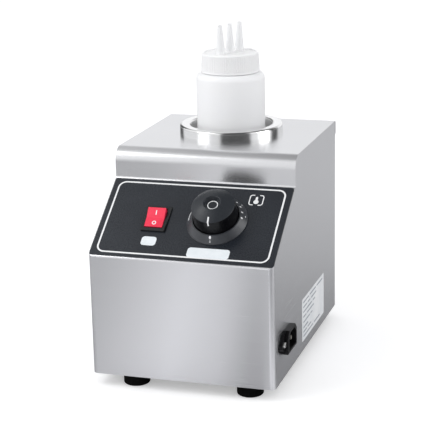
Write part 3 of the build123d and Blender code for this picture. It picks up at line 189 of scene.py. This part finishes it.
def brushed_steel(name, stretch, dark, light, smooth, rough, round_axis, across=0.0, pull=0.0):
    """Satin sheet: fine brush lines along one direction, broader cloudy wear over them.
    Reflections stretch by pull, round an axis of the piece or, with across, along it."""
    material, shader = new_material(name)
    if pull:
        tangent = add_node(material, "ShaderNodeTangent", direction_type="RADIAL", axis=round_axis)
        join(material, tangent.outputs[0], shader.inputs["Tangent"])
        shader.inputs["Anisotropic"].default_value = pull
        shader.inputs["Anisotropic Rotation"].default_value = across
    brushing = noise(material, place_coordinates(material, stretch), 1.0, 4.0, 0.6)
    wear = noise(material, place_coordinates(material), WEAR_SCALE)
    shader.inputs["Metallic"].default_value = 1.0
    join(material, tint(material, brushing, dark, light, 0.25, 0.75), shader.inputs["Base Color"])
    blend = add_node(material, "ShaderNodeMath", operation="MULTIPLY_ADD")
    blend.inputs[1].default_value = WEAR_SHARE
    join(material, wear, blend.inputs[0])
    join(material, brushing, blend.inputs[2])
    join(material, spread(material, blend.outputs[0], smooth, rough, 0.35, 1.0),
         shader.inputs["Roughness"])
    bump(material, shader, brushing, BRUSH_RELIEF, BRUSH_STRENGTH)
    return material


def plain(name, dark, light, grain, roughness, relief, metallic=0.0, strength=0.5, gloss=0.5):
    """Moulded or rolled stuff with a fine grain of one size and a broad change of colour."""
    material, shader = new_material(name)
    place = place_coordinates(material)
    fine = noise(material, place, 1.0 / grain)
    broad = noise(material, place, 1.0 / (grain * BROAD), 2.0)
    shader.inputs["Metallic"].default_value = metallic
    shader.inputs["Specular IOR Level"].default_value = gloss
    join(material, tint(material, broad, dark, light), shader.inputs["Base Color"])
    join(material, spread(material, fine, *roughness), shader.inputs["Roughness"])
    bump(material, shader, fine, relief, strength)
    return material


def soften_inside(material, axis, edge, inside):
    """Makes the wall of a round well rougher than its collar, by the distance from its axis."""
    shader = shader_of(material)
    reach = add_node(material, "ShaderNodeVectorMath", operation="DISTANCE")
    reach.inputs[1].default_value = axis
    join(material, place_coordinates(material, (1.0, 1.0, 0.0)), reach.inputs[0])
    polished = spread(material, reach.outputs["Value"], inside, 0.0, *edge)
    most = add_node(material, "ShaderNodeMath", operation="MAXIMUM")
    join(material, polished, most.inputs[0])
    join(material, shader.inputs["Roughness"].links[0].from_socket, most.inputs[1])
    join(material, most.outputs[0], shader.inputs["Roughness"])


def sheen_and_shade_copy(name, look, up, edge, dark, light):
    """A copy of a look whose colour changes to another where the piece passes an edge: a painted
    sheen, lighter, on the knob's face and a painted shade, darker, on the cap's nozzles.
    """
    material = look.copy()
    material.name = name
    shader = shader_of(material)
    place = place_coordinates(material)
    rise = add_node(material, "ShaderNodeVectorMath", operation="DOT_PRODUCT")
    rise.inputs[1].default_value = up
    join(material, place, rise.inputs[0])
    above = spread(material, rise.outputs["Value"], 0.0, 1.0, *edge)
    other = tint(material, noise(material, place, SECOND_TONE_SCALE), dark, light)
    below = shader.inputs["Base Color"].links[0].from_socket
    join(material, mix_colour(material, above, below, other), shader.inputs["Base Color"])
    return material


def translucent(name, dark, light, clear, roughness, depth):
    """Milky plastic that lets light through."""
    material, shader = new_material(name)
    place = place_coordinates(material)
    waves = noise(material, place, MILK_WAVES_SCALE, 2.0)
    fine = noise(material, place, MILK_GRAIN_SCALE)
    shader.inputs["Transmission Weight"].default_value = clear
    shader.inputs["IOR"].default_value = MILK_IOR
    shader.inputs["Subsurface Weight"].default_value = MILK_SCATTER
    shader.inputs["Subsurface Radius"].default_value = (1.0, 1.0, 1.0)
    shader.inputs["Subsurface Scale"].default_value = MILK_DEPTH
    join(material, tint(material, waves, dark, light), shader.inputs["Base Color"])
    low, high = roughness - MILK_ROUGH_SPREAD, roughness + MILK_ROUGH_SPREAD
    join(material, spread(material, fine, low, high), shader.inputs["Roughness"])
    bump(material, shader, fine, depth, MILK_STRENGTH)
    return material


WRAP = brushed_steel("wrap_steel", (0.02, 0.02, 2.5), (0.695, 0.697, 0.717), (0.733, 0.735, 0.755),
                     0.24, 0.28, "Z", across=0.25, pull=0.95)
# The cover is the wrap's steel given a lighter colour: painted light on the slant, brow, crown and
# top.
LIT_COVER_STEEL = brushed_steel("cover_steel_painted_light", (0.02, 2.5, 2.5), (0.755, 0.757, 0.77), (0.795, 0.797, 0.81),
                      0.23, 0.27, "X", pull=0.6)
POLISHED = brushed_steel("well_steel", (0.3, 0.3, 3.0), (0.82, 0.82, 0.82), (0.88, 0.88, 0.87),
                         0.11, 0.17, "Z")
soften_inside(POLISHED, (*BOTTLE_AXIS, 0.0), WELL_EDGE, WELL_ROUGH)

LOOKS = {
    "case_steel": WRAP,
    "inner_steel": plain("inner_steel", (0.42, 0.43, 0.44), (0.58, 0.58, 0.58), 2.0,
                         (0.3, 0.5), 0.01, metallic=1.0),
    "well_steel": POLISHED,
    "screw_steel": plain("screw_steel", (0.6, 0.6, 0.58), (0.75, 0.75, 0.73), 0.3,
                         (0.22, 0.38), 0.01, metallic=1.0),
    "foot_rubber": plain("foot_rubber", (0.0015, 0.0015, 0.0015), (0.004, 0.004, 0.004), 0.3,
                         (0.65, 0.9), 0.03, gloss=0.08),
    "black_film": plain("black_film", (0.013, 0.016, 0.022), (0.018, 0.022, 0.029), 0.8,
                        (0.22, 0.34), 0.03),
    "pale_plate": plain("pale_plate", (0.80, 0.85, 0.88), (0.88, 0.92, 0.95), 0.2,
                        (0.35, 0.5), 0.005),
    "label_paper": plain("label_paper", (0.70, 0.72, 0.74), (0.80, 0.81, 0.82), 0.4,
                         (0.5, 0.7), 0.01),
    "black_plastic": plain("black_plastic", (0.004, 0.004, 0.005), (0.008, 0.008, 0.009), 0.25,
                           (0.22, 0.34), 0.008, gloss=0.6),
    "knob_plastic": plain("knob_plastic", (0.002, 0.002, 0.003), (0.005, 0.005, 0.006), 0.25,
                          (0.24, 0.36), 0.008, gloss=0.25),
    "red_plastic": plain("red_plastic", (0.84, 0.026, 0.070), (0.92, 0.040, 0.092), 0.3,
                         (0.3, 0.42), 0.005, strength=0.4, gloss=0.3),
    "brass_blades": plain("brass_blades", (0.42, 0.40, 0.36), (0.58, 0.56, 0.50), 0.3,
                          (0.25, 0.42), 0.01, metallic=1.0),
    "tan_plastic": plain("tan_plastic", (0.42, 0.27, 0.14), (0.55, 0.38, 0.22), 0.4,
                         (0.4, 0.6), 0.02),
    "copper": plain("copper", (0.55, 0.24, 0.13), (0.72, 0.36, 0.22), 0.3, (0.25, 0.45), 0.01,
                    metallic=1.0),
    "heater_steel": plain("heater_steel", (0.30, 0.28, 0.26), (0.50, 0.48, 0.45), 0.6,
                          (0.35, 0.55), 0.01, metallic=1.0),
    "mineral_wool": plain("mineral_wool", (0.62, 0.58, 0.46), (0.82, 0.79, 0.68), 0.8,
                          (0.85, 1.0), 0.6),
    "brown_pvc": plain("brown_pvc", (0.10, 0.04, 0.02), (0.16, 0.07, 0.035), 0.2, (0.35, 0.5),
                       0.005),
    "blue_pvc": plain("blue_pvc", (0.01, 0.05, 0.30), (0.02, 0.09, 0.42), 0.2, (0.35, 0.5),
                      0.005),
    "green_yellow_pvc": plain("green_yellow_pvc", (0.12, 0.42, 0.04), (0.72, 0.62, 0.04), 0.2,
                              (0.35, 0.5), 0.005),
    "bottle_plastic": translucent("bottle_plastic", (0.96, 0.965, 0.985), (0.98, 0.985, 0.99),
                                  0.05, 0.42, 0.02),
    "cap_plastic": translucent("cap_plastic", (0.96, 0.96, 0.965), (0.98, 0.98, 0.98), 0.05,
                               0.38, 0.02),
    "seal_rubber": plain("seal_rubber", (0.62, 0.62, 0.60), (0.72, 0.72, 0.70), 0.4,
                         (0.55, 0.75), 0.02),
}


def dress(node, material):
    """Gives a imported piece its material."""
    shape = frame["nodes"][node].data
    shape.materials.clear()
    shape.materials.append(material)


for part in frame["record"]["subparts"]:
    dress(part["node"], LOOKS[part["material_slot"]])
dress("top_cover", LIT_COVER_STEEL)
# Painted sheen: past its edge, the knob's face is given a lighter colour than its black side.
dress("knob_cap", sheen_and_shade_copy("knob_cap_painted_sheen", LOOKS["knob_plastic"], OUT_OF_PANEL, KNOB_SHEEN_EDGE,
                           (0.022, 0.025, 0.030), (0.032, 0.036, 0.042)))
# Painted shade: past their foot, the cap's nozzles are given a greyer colour than the cap.
dress("bottle_cap", sheen_and_shade_copy("cap_nozzles_painted_shade", LOOKS["cap_plastic"], (0, 0, 1), CAP_SHADE_EDGE,
                             (0.86, 0.865, 0.87), (0.90, 0.905, 0.91)))
dress("inlet_body", plain("inlet_plastic", (0.002, 0.002, 0.0025), (0.005, 0.005, 0.006), 0.25,
                          (0.34, 0.48), 0.008, gloss=0.2))
dress("dial_bezel", plain("bezel_plastic", (0.034, 0.037, 0.043), (0.048, 0.052, 0.060), 0.25,
                          (0.26, 0.38), 0.008, gloss=0.7))


# ---- Printed and small pieces ------------------------------------------------------------

PRINT = 0.06
BORDER = (-84.0, 83.5, 5.3, 92.7)  # left, right, low and high on the panel
BORDER_RADIUS = 8.0
BORDER_WIDTH = 1.6
SIGN_AT = (56.3, 78.5)
SIGN_BEND = (4.2, 3.6)  # middle of a bracket's corner
SIGN_TIP = 2.4
SIGN_RADII = (2.8, 1.8)
BULB_STEM = (3.0, 1.1)  # height of an arc's middle, and its radius
BULB_BALL = (-2.2, 2.5)
BULB_MOUTH = (118, 422)  # where the ball's arc starts and ends, in degrees
DOT_TURNS = (-90.0, 1.4, 17.5, 34.2, 50.4, 66.8, 83.0)  # the first is the off dot
DOT_REACH = 24.6
DOT_RADIUS = 0.8
OFF_DOT_RADIUS = 1.05
WEDGE_REACH = 26.6
WEDGE_START = 190.0
WEDGE_STEP = 2.4
WEDGE_POINTS = 37
WEDGE_HALF = 0.35
WEDGE_GROWTH = 0.02
NUMERAL_SIZE = 2.8
NUMERAL_STEP = 1.05  # how far out the cone's slope is measured, as a share of the reach
NUMERALS = (  # name, text, turn and reach
    ("numeral_off", "0", -90.0, 27.3),
    ("numeral_high", "6", 9.5, 27.2),
    ("numeral_middle", "5", 42.0, 27.2),
    ("numeral_low", "4", 75.0, 27.2),
)
POINTER_HALF = 0.7
POINTER_LIFT = 0.04
POINTER_FACE = (15.4, 16.6, 17.8, 19.0, 19.9)  # radii on the knob's domed face
POINTER_SIDE = [(20.38, 22.46), (20.58, 21.9), (20.64, 20.6), (20.78, 18.4)]  # radius, height
KNOB_RING = (5.1, 4.2)
STROKE = (-0.5, 0.5, 3.0, 7.4)  # left, right, low and high from the rocker's waist
ZERO_AT = (0, -5.6)
ZERO_RADII = (2.1, 1.25)
BAR_HALF = 0.7
BAR_THICK = 0.03
BAR_ROWS = (  # drop from the label's top, then start and end of each bar as shares of its width
    (4.0, ((0.05, 0.30), (0.34, 0.62), (0.66, 0.93))),
    (9.0, ((0.05, 0.22), (0.25, 0.36), (0.40, 0.64))),
    (14.0, ((0.05, 0.44), (0.48, 0.58))),
    (19.0, ((0.05, 0.18), (0.22, 0.52))),
    (24.5, ((0.05, 0.34), (0.38, 0.46))),
    (30.0, ((0.05, 0.26),)),
    (34.5, ((0.05, 0.20), (0.24, 0.40))),
    (39.0, ((0.05, 0.48), (0.53, 0.80))),
)
RIB_COUNT = 84
RIB_ENDS = ((2.2, 29.02), (17.5, 28.16))  # height over the cap's foot, and its radius there
RIB_SECTION = ((-0.28, -0.05), (-0.14, 0.40), (0.14, 0.40), (0.28, -0.05))  # share of pitch, lift
INK = plain("white_ink", (0.86, 0.87, 0.88), (0.93, 0.93, 0.93), 0.2, (0.35, 0.5), 0.004)
GREY_INK = plain("grey_ink", (0.22, 0.24, 0.28), (0.32, 0.34, 0.38), 0.2, (0.5, 0.65), 0.004)


def add_piece(name, corners, faces, material, body, slot):
    """A mesh that rides on a body."""
    shape = bpy.data.meshes.new(name)
    shape.from_pydata([tuple(c) for c in corners], [], faces)
    work = bmesh.new()
    work.from_mesh(shape)
    bmesh.ops.recalc_face_normals(work, faces=work.faces)
    work.to_mesh(shape)
    work.free()
    shape.materials.append(material)
    piece = bpy.data.objects.new(name, shape)
    bpy.context.scene.collection.objects.link(piece)
    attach(piece, body)


def band(first, second, place, thick, closed):
    """Corners and faces of a thin ribbon between two lines, standing on the surface of place."""
    count = len(first)
    corners = []
    for lift in (0.0, thick):
        for line in (first, second):
            corners += [place(a, b, lift) for a, b in line]
    low_1, low_2, top_1, top_2 = (k * count for k in range(4))
    faces = []
    for i in range(count if closed else count - 1):
        j = (i + 1) % count
        faces.append((top_1 + i, top_1 + j, top_2 + j, top_2 + i))
        faces.append((low_1 + i, low_1 + j, top_1 + j, top_1 + i))
        faces.append((low_2 + i, low_2 + j, top_2 + j, top_2 + i))
    if not closed:
        for i in (0, count - 1):
            faces.append((low_1 + i, low_2 + i, top_2 + i, top_1 + i))
    return corners, faces


def patch(outline, place, thick):
    """Corners and faces of a thin filled outline."""
    count = len(outline)
    corners = [place(a, b, lift) for lift in (0.0, thick) for a, b in outline]
    faces = [tuple(range(count, 2 * count))]
    for i in range(count):
        j = (i + 1) % count
        faces.append((i, j, count + j, count + i))
    return corners, faces


def merge(parts):
    """Several lots of corners and faces as one."""
    corners = []
    faces = []
    for part_corners, part_faces in parts:
        base = len(corners)
        corners += part_corners
        faces += [tuple(base + i for i in face) for face in part_faces]
    return corners, faces


def arc(centre, radius, start, end, steps):
    """Points along an arc, angles in degrees."""
    angles = [math.radians(start + (end - start) * k / steps) for k in range(steps + 1)]
    return [(centre[0] + radius * math.cos(a), centre[1] + radius * math.sin(a)) for a in angles]


def ring(centre, radius, steps=48):
    return arc(centre, radius, 0.0, 360.0, steps)[:-1]


def polar(radius, turn):
    """A point at this radius and turn in degrees."""
    return radius * math.cos(math.radians(turn)), radius * math.sin(math.radians(turn))


def oblong(left, right, low, high):
    return [(left, low), (right, low), (right, high), (left, high)]


def rounded(left, right, low, high, radius, steps=10):
    """A rectangle with round corners."""
    line = []
    for x, y, start in ((right, high, 0), (left, high, 90), (left, low, 180), (right, low, 270)):
        centre = (x + (radius if x == left else -radius), y + (radius if y == low else -radius))
        line += arc(centre, radius, start, start + 90, steps)
    return line


def on_film(along, up, lift):
    """A point of the film, given across and up the panel."""
    return on_panel(along, up, FILM_TOP + lift)


def on_cone(along, up, lift):
    """A point of the bezel's cone, given across and up from the dial's middle."""
    reach = math.hypot(along, up)
    fall = (CONE_TOP[1] - CONE_FOOT[1]) / (CONE_FOOT[0] - CONE_TOP[0])
    height = CONE_TOP[1] - (reach - CONE_TOP[0]) * fall
    return on_panel(DIAL[0] + along, DIAL[1] + up, height + lift)


def on_dish(along, up, lift):
    """A point of the floor of the knob's dish, given from the dial's middle."""
    return on_panel(DIAL[0] + along, DIAL[1] + up, DISH_FLOOR + lift)


def on_rocker(across, along, lift):
    """A point of the rocker's two wings, given along the rocker from its waist."""
    out = ROCKER_RISE + abs(along) * math.tan(ROCKER_WING) + lift
    up = along * math.cos(ROCKER_TILT) - out * math.sin(ROCKER_TILT)
    high = along * math.sin(ROCKER_TILT) + out * math.cos(ROCKER_TILT)
    return on_panel(SWITCH[0] + across, SWITCH[1] + up, ROCKER_PIVOT + high)


def add_border():
    """The white line round the film."""
    left, right, low, high = BORDER
    width = BORDER_WIDTH
    outer = rounded(*BORDER, BORDER_RADIUS)
    inner = rounded(left + width, right - width, low + width, high - width, BORDER_RADIUS - width)
    add_piece("film_border", *band(outer, inner, on_film, PRINT, True), INK, "base", "pale_plate")


def add_heat_sign():
    """A plain temperature sign: a bulb between two brackets."""
    def here(along, up, lift):
        return on_film(SIGN_AT[0] + along, SIGN_AT[1] + up, lift)

    def edge(side, radius):
        """A bracket's edge, from its upper tip round both corners to its lower tip."""
        across, up = side * SIGN_BEND[0], SIGN_BEND[1]
        tip = (side * SIGN_TIP, up + radius)
        upper = arc((across, up), radius, 90, 90 - side * 90, 8)
        lower = arc((across, -up), radius, 90 - side * 90, 90 - side * 180, 8)
        return [tip, *upper, *lower, (tip[0], -tip[1])]

    brackets = [band(*(edge(side, radius) for radius in SIGN_RADII), here, PRINT, False)
                for side in (-1, 1)]
    stem = arc((0.0, BULB_STEM[0]), BULB_STEM[1], 0, 180, 10)
    bulb = stem + arc((0.0, BULB_BALL[0]), BULB_BALL[1], *BULB_MOUTH, 24)
    add_piece("heat_sign", *merge([*brackets, patch(bulb, here, PRINT)]), INK, "base", "pale_plate")


def add_dial_marks():
    """Dots, an off dot and a wedge that widens clockwise."""
    marks = []
    for turn in DOT_TURNS:
        size = OFF_DOT_RADIUS if turn == DOT_TURNS[0] else DOT_RADIUS
        marks.append(patch(ring(polar(DOT_REACH, turn), size, 20), on_cone, PRINT))
    outer = []
    inner = []
    for k in range(WEDGE_POINTS):
        turn = WEDGE_START - WEDGE_STEP * k
        half = WEDGE_HALF + WEDGE_GROWTH * k
        outer.append(polar(WEDGE_REACH + half, turn))
        inner.append(polar(WEDGE_REACH - half, turn))
    marks.append(band(outer, inner, on_cone, PRINT, False))
    add_piece("dial_marks", *merge(marks), INK, "base", "pale_plate")


def add_numeral(name, text, turn, reach):
    """A raised-ink numeral that lies on the bezel's cone."""
    data = bpy.data.curves.new(name, "FONT")
    data.body = text
    data.size = NUMERAL_SIZE * MM
    data.extrude = PRINT / 2 * MM
    data.align_x = "CENTER"
    data.align_y = "CENTER"
    data.materials.append(INK)
    piece = bpy.data.objects.new(name, data)
    bpy.context.scene.collection.objects.link(piece)
    spot = polar(reach, turn)
    here = on_cone(*spot, PRINT)
    further = polar(reach * NUMERAL_STEP, turn)
    outward = (on_cone(*further, 0.0) - on_cone(*spot, 0.0)).normalized()
    sideways = outward.cross(OUT_OF_PANEL).normalized()
    normal = sideways.cross(outward).normalized()
    across = (Vector((1.0, 0.0, 0.0)) - normal * normal.x).normalized()
    upward = normal.cross(across)
    turn_matrix = Matrix((across, upward, normal)).transposed().to_4x4()
    piece.matrix_world = Matrix.Translation(here) @ turn_matrix
    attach(piece, "base")


def add_knob_marks():
    """The pointer over the knob's lower edge and a plain ring in its dish."""
    rim_r, rim_h = KNOB_RIM
    path = [(r, rim_h + KNOB_DOME * (1 - (r / rim_r) ** 2) + POINTER_LIFT) for r in POINTER_FACE]
    path += POINTER_SIDE

    def along_knob(side, place, lift):
        reach, height = path[place]
        return on_panel(DIAL[0] + side, DIAL[1] - reach - lift, height + lift)

    left, right = ([(side, k) for k in range(len(path))] for side in (-POINTER_HALF, POINTER_HALF))
    add_piece("knob_pointer", *band(left, right, along_knob, PRINT, False), INK, "knob",
              "pale_plate")
    outer, inner = (ring((0, 0), radius) for radius in KNOB_RING)
    add_piece("knob_ring", *band(outer, inner, on_dish, PRINT, True), INK, "knob", "pale_plate")


def add_switch_marks():
    """I on the upper wing and O on the lower one."""
    stroke = patch(oblong(*STROKE), on_rocker, PRINT)
    outer, inner = (ring(ZERO_AT, radius, 32) for radius in ZERO_RADII)
    zero = band(outer, inner, on_rocker, PRINT, True)
    add_piece("switch_marks", *merge([stroke, zero]), INK, "rocker", "pale_plate")


def add_label_bars():
    """Plain ruled bars on the label, in place of words."""
    low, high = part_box("rating_label")
    face, top = high.x / MM, high.z / MM
    left, right = low.y / MM, high.y / MM

    def on_label(along, up, lift):
        return Vector((face + lift, along, up)) * MM

    bars = []
    for drop, runs in BAR_ROWS:
        for start, end in runs:
            a = left + (right - left) * start
            b = left + (right - left) * end
            bar = oblong(a, b, top - drop - BAR_HALF, top - drop + BAR_HALF)
            bars.append(patch(bar, on_label, BAR_THICK))
    add_piece("label_bars", *merge(bars), GREY_INK, "base", "label_paper")


def add_cap_ribs():
    """Fine upright grip ribs round the cap."""
    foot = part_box("bottle_cap")[0].z / MM
    corners = []
    faces = []
    for k in range(RIB_COUNT):
        base = len(corners)
        for height, reach in RIB_ENDS:
            for shift, lift in RIB_SECTION:
                turn = 2 * math.pi * (k + shift) / RIB_COUNT
                x = BOTTLE_AXIS[0] + (reach + lift) * math.cos(turn)
                y = BOTTLE_AXIS[1] + (reach + lift) * math.sin(turn)
                corners.append(Vector((x, y, foot + height)) * MM)
        for i in range(3):
            faces.append((base + i, base + i + 1, base + 5 + i, base + 4 + i))
        faces.append((base, base + 1, base + 2, base + 3))
        faces.append((base + 4, base + 5, base + 6, base + 7))
    add_piece("cap_ribs", corners, faces, LOOKS["cap_plastic"], "cap", "cap_plastic")


add_border()
add_heat_sign()
add_dial_marks()
for numeral in NUMERALS:
    add_numeral(*numeral)
add_knob_marks()
add_switch_marks()
add_label_bars()
add_cap_ribs()


# ---- Camera, floor, light ----------------------------------------------------------------

CAMERA_AT = (408.88, -1299.48, 519.65)
CAMERA_BACK = Vector((0.29376, -0.91744, 0.26833))
CAMERA_ROLL = math.radians(-1.243)
CAMERA_LENS = 119.34
CAMERA_SENSOR = 36.0
CAMERA_NEAR = 0.05  # metres

FLOOR_HALF = 6.0  # metres
FLOOR_PALE = ((0.84, 0.84, 0.85), (0.88, 0.88, 0.88))
FLOOR_SCALE = 0.005
FLOOR_ROUGH = 0.9
FLOOR_SHINE = 0.1
FLOOR_GLOW = 0.35  # to the camera only
# What reflections see of the floor: a tone that changes with the distance from the middle, darker
# near it as a painted shade, and in front a painted soft streak of light, whose brightness is given
# across it, dimmer far out.
FLOOR_SHADE_TONES = ((0.40, 0.40, 0.405), (0.61, 0.61, 0.615))
FLOOR_SHADE_REACH = (120.0, 820.0)
FLOOR_FRONT = (-160.0, -60.0)
FLOOR_FAR = 0.90
FLOOR_FAR_FROM = (-590.0, -450.0)
FLOOR_BLUE = 1.015  # the streak's blue beside its red and green
FLOOR_BAND_SLOPE = 0.26  # how far the streak leans to the right towards the back
FLOOR_BAND = (
    (-200.0, 0.45), (-95.0, 0.48), (-45.0, 0.72), (10.0, 0.98), (60.0, 0.79), (92.0, 0.45),
    (106.0, 0.42), (122.0, 0.90), (136.0, 1.10), (210.0, 1.00), (300.0, 0.50),
)

ROOM_COLOUR = (0.98, 0.985, 1.0, 1.0)
ROOM_LIGHT = 1.06
ROOM_LIGHT_FALL = 0.34  # from the horizon to straight above
# What reflections see of the room: the least light, walls by their bearing from, to and softness
# in degrees and their strength, and a ceiling. Its strength goes from the third value to the
# fourth as the X of its direction goes from the first to the second.
ROOM_DARK = 0.08
ROOM_WALLS = (
    (-240.0, -150.0, 8.0, 0.98),
    (-118.0, -8.0, 3.0, 0.90),
    (60.0, 116.0, 4.0, 0.98),
    (142.0, 240.0, 8.0, 0.98),
)
ROOM_CEILING = (-0.6, 0.0, 0.90, 0.10)
CEILING_LEAN = 0.3  # it starts lower at the back
CEILING_FROM = (0.60, 0.95)  # where the walls pass into it, by the Z of the direction

LAMP_AIM = Vector((0.0, 0.0, 0.15))  # metres
LAMPS = (  # name, then place, width and height in metres, and power
    ("key", (-1.15, -0.95, 1.25), 0.9, 1.3, 7.0),
    ("right", (1.35, 0.15, 0.65), 0.7, 0.7, 2.6),
    ("top", (-0.85, -0.35, 1.20), 0.5, 0.5, 2.0),
)


def add_camera():
    data = bpy.data.cameras.new("camera")
    data.sensor_fit = "HORIZONTAL"
    data.sensor_width = CAMERA_SENSOR
    data.lens = CAMERA_LENS
    data.clip_start = CAMERA_NEAR
    camera = bpy.data.objects.new("camera", data)
    bpy.context.scene.collection.objects.link(camera)
    level = Vector((-CAMERA_BACK.y, CAMERA_BACK.x, 0.0)).normalized()
    above = CAMERA_BACK.cross(level)
    right = level * math.cos(CAMERA_ROLL) + above * math.sin(CAMERA_ROLL)
    up = above * math.cos(CAMERA_ROLL) - level * math.sin(CAMERA_ROLL)
    turn = Matrix((right, up, CAMERA_BACK.normalized())).transposed().to_4x4()
    camera.matrix_world = Matrix.Translation(Vector(CAMERA_AT) * MM) @ turn
    bpy.context.scene.camera = camera


def floor_streak(material, x, y):
    """The streak of light in front, by how far a point lies across it."""
    across = add_node(material, "ShaderNodeMath", operation="MULTIPLY_ADD")
    across.inputs[1].default_value = -FLOOR_BAND_SLOPE
    join(material, y, across.inputs[0])
    join(material, x, across.inputs[2])
    low, high = FLOOR_BAND[0][0], FLOOR_BAND[-1][0]
    ramp = add_node(material, "ShaderNodeValToRGB")
    join(material, spread(material, across.outputs[0], 0.0, 1.0, low, high), ramp.inputs["Fac"])
    stops = ramp.color_ramp.elements
    for place, shade in FLOOR_BAND[1:-1]:
        stops.new((place - low) / (high - low)).color = (shade, shade, shade * FLOOR_BLUE, 1.0)
    for stop, (_, shade) in ((stops[0], FLOOR_BAND[0]), (stops[-1], FLOOR_BAND[-1])):
        stop.color = (shade, shade, shade * FLOOR_BLUE, 1.0)
    fade = add_node(material, "ShaderNodeVectorMath", operation="SCALE")
    join(material, ramp.outputs["Color"], fade.inputs[0])
    join(material, spread(material, y, FLOOR_FAR, 1.0, *FLOOR_FAR_FROM), fade.inputs["Scale"])
    return fade.outputs[0]


def floor_look():
    """Pale and matt, and where a reflection sees it, a painted shade near the middle and a painted
    streak of light in front.
    """
    material, shader = new_material("floor")
    place = place_coordinates(material)
    pale = tint(material, noise(material, place, FLOOR_SCALE), *FLOOR_PALE)
    reach = add_node(material, "ShaderNodeVectorMath", operation="LENGTH")
    join(material, place, reach.inputs[0])
    # Painted shade, seen only in reflections: the floor is darker near the middle.
    near_shade = tint(material, spread(material, reach.outputs["Value"], 0.0, 1.0, *FLOOR_SHADE_REACH),
                 *FLOOR_SHADE_TONES, 0.0, 1.0)
    split = add_node(material, "ShaderNodeSeparateXYZ")
    join(material, place, split.inputs[0])
    x, y = split.outputs["X"], split.outputs["Y"]
    streak = floor_streak(material, x, y)
    front = spread(material, y, 1.0, 0.0, *FLOOR_FRONT)
    reflected = mix_colour(material, front, near_shade, streak)
    path = add_node(material, "ShaderNodeLightPath")
    colour = mix_colour(material, path.outputs["Is Glossy Ray"], pale, reflected)
    join(material, colour, shader.inputs["Base Color"])
    shader.inputs["Roughness"].default_value = FLOOR_ROUGH
    shader.inputs["Specular IOR Level"].default_value = FLOOR_SHINE
    glow = add_node(material, "ShaderNodeMath", operation="MULTIPLY")
    glow.inputs[1].default_value = FLOOR_GLOW
    join(material, path.outputs["Is Camera Ray"], glow.inputs[0])
    shader.inputs["Emission Color"].default_value = (1.0, 1.0, 1.0, 1.0)
    join(material, glow.outputs[0], shader.inputs["Emission Strength"])
    return material


def add_floor():
    shape = bpy.data.meshes.new("floor")
    corners = [(x, y, 0) for x, y in oblong(-FLOOR_HALF, FLOOR_HALF, -FLOOR_HALF, FLOOR_HALF)]
    shape.from_pydata(corners, [], [(0, 1, 2, 3)])
    shape.materials.append(floor_look())
    floor = bpy.data.objects.new("floor", shape)
    bpy.context.scene.collection.objects.link(floor)


def add_lamp(name, at, width, height, power):
    data = bpy.data.lights.new(name, "AREA")
    data.shape = "RECTANGLE"
    data.size = width
    data.size_y = height
    data.energy = power
    lamp = bpy.data.objects.new(name, data)
    bpy.context.scene.collection.objects.link(lamp)
    lamp.location = at
    lamp.rotation_euler = (LAMP_AIM - Vector(at)).to_track_quat("-Z", "Y").to_euler()


def add_world():
    """White to the camera and through clear things. Reflections see bright and dark walls by their
    bearing, and a ceiling that is bright on the left and dim on the right. The light itself is
    even round about and falls off towards the top."""
    world = bpy.data.worlds.new("world")
    world.use_nodes = True
    bpy.context.scene.world = world
    nodes = world.node_tree.nodes
    links = world.node_tree.links

    def number(operation, first, second):
        node = nodes.new("ShaderNodeMath")
        node.operation = operation
        for slot, value in zip(node.inputs, (first, second)):
            if isinstance(value, float):
                slot.default_value = value
            else:
                links.new(value, slot)
        return node.outputs[0]

    def step(value, start, end, low=0.0, high=1.0):
        node = nodes.new("ShaderNodeMapRange")
        node.interpolation_type = "SMOOTHSTEP"
        limits = {"From Min": start, "From Max": end, "To Min": low, "To Max": high}
        for name, amount in limits.items():
            node.inputs[name].default_value = amount
        links.new(value, node.inputs["Value"])
        return node.outputs["Result"]

    def sector(start, end, soft):
        """1 between two bearings, in degrees from the front towards +X."""
        rise = step(bearing, math.radians(start - soft), math.radians(start + soft))
        fall = step(bearing, math.radians(end - soft), math.radians(end + soft), 1.0, 0.0)
        return number("MULTIPLY", rise, fall)

    def total(parts):
        """The sum of the walls, each as strong as it is."""
        found = number("MULTIPLY", sector(*parts[0][:3]), parts[0][3])
        for start, end, soft, strength in parts[1:]:
            found = number("ADD", found, number("MULTIPLY", sector(start, end, soft), strength))
        return found

    place = nodes.new("ShaderNodeTexCoord")
    split = nodes.new("ShaderNodeSeparateXYZ")
    path = nodes.new("ShaderNodeLightPath")
    links.new(place.outputs["Generated"], split.inputs[0])
    height = split.outputs["Z"]
    bearing = number("ARCTAN2", split.outputs["X"], number("MULTIPLY", split.outputs["Y"], -1.0))
    leaning = number("ADD", height, number("MULTIPLY", split.outputs["Y"], CEILING_LEAN))
    overhead = step(leaning, *CEILING_FROM)
    walls = number("MULTIPLY", number("ADD", total(ROOM_WALLS), ROOM_DARK),
                   number("SUBTRACT", 1.0, overhead))
    ceiling = step(split.outputs["X"], *ROOM_CEILING)
    seen = number("ADD", walls, number("MULTIPLY", overhead, ceiling))
    shiny = path.outputs["Is Glossy Ray"]
    falling = step(height, 0.0, 1.0, ROOM_LIGHT, ROOM_LIGHT - ROOM_LIGHT_FALL)
    even = number("MULTIPLY", number("SUBTRACT", 1.0, shiny), falling)
    room = nodes.new("ShaderNodeBackground")
    room.inputs["Color"].default_value = ROOM_COLOUR
    links.new(number("ADD", number("MULTIPLY", seen, shiny), even), room.inputs["Strength"])
    backdrop = nodes["Background"]
    backdrop.inputs["Color"].default_value = (1.0, 1.0, 1.0, 1.0)
    mix = nodes.new("ShaderNodeMixShader")
    links.new(number("MAXIMUM", path.outputs["Is Camera Ray"], path.outputs["Is Transmission Ray"]),
              mix.inputs["Fac"])
    links.new(room.outputs[0], mix.inputs[1])
    links.new(backdrop.outputs[0], mix.inputs[2])
    links.new(mix.outputs[0], nodes["World Output"].inputs["Surface"])


add_camera()
add_floor()
add_world()
for lamp in LAMPS:
    add_lamp(*lamp)
bpy.context.scene.view_settings.view_transform = "Standard"
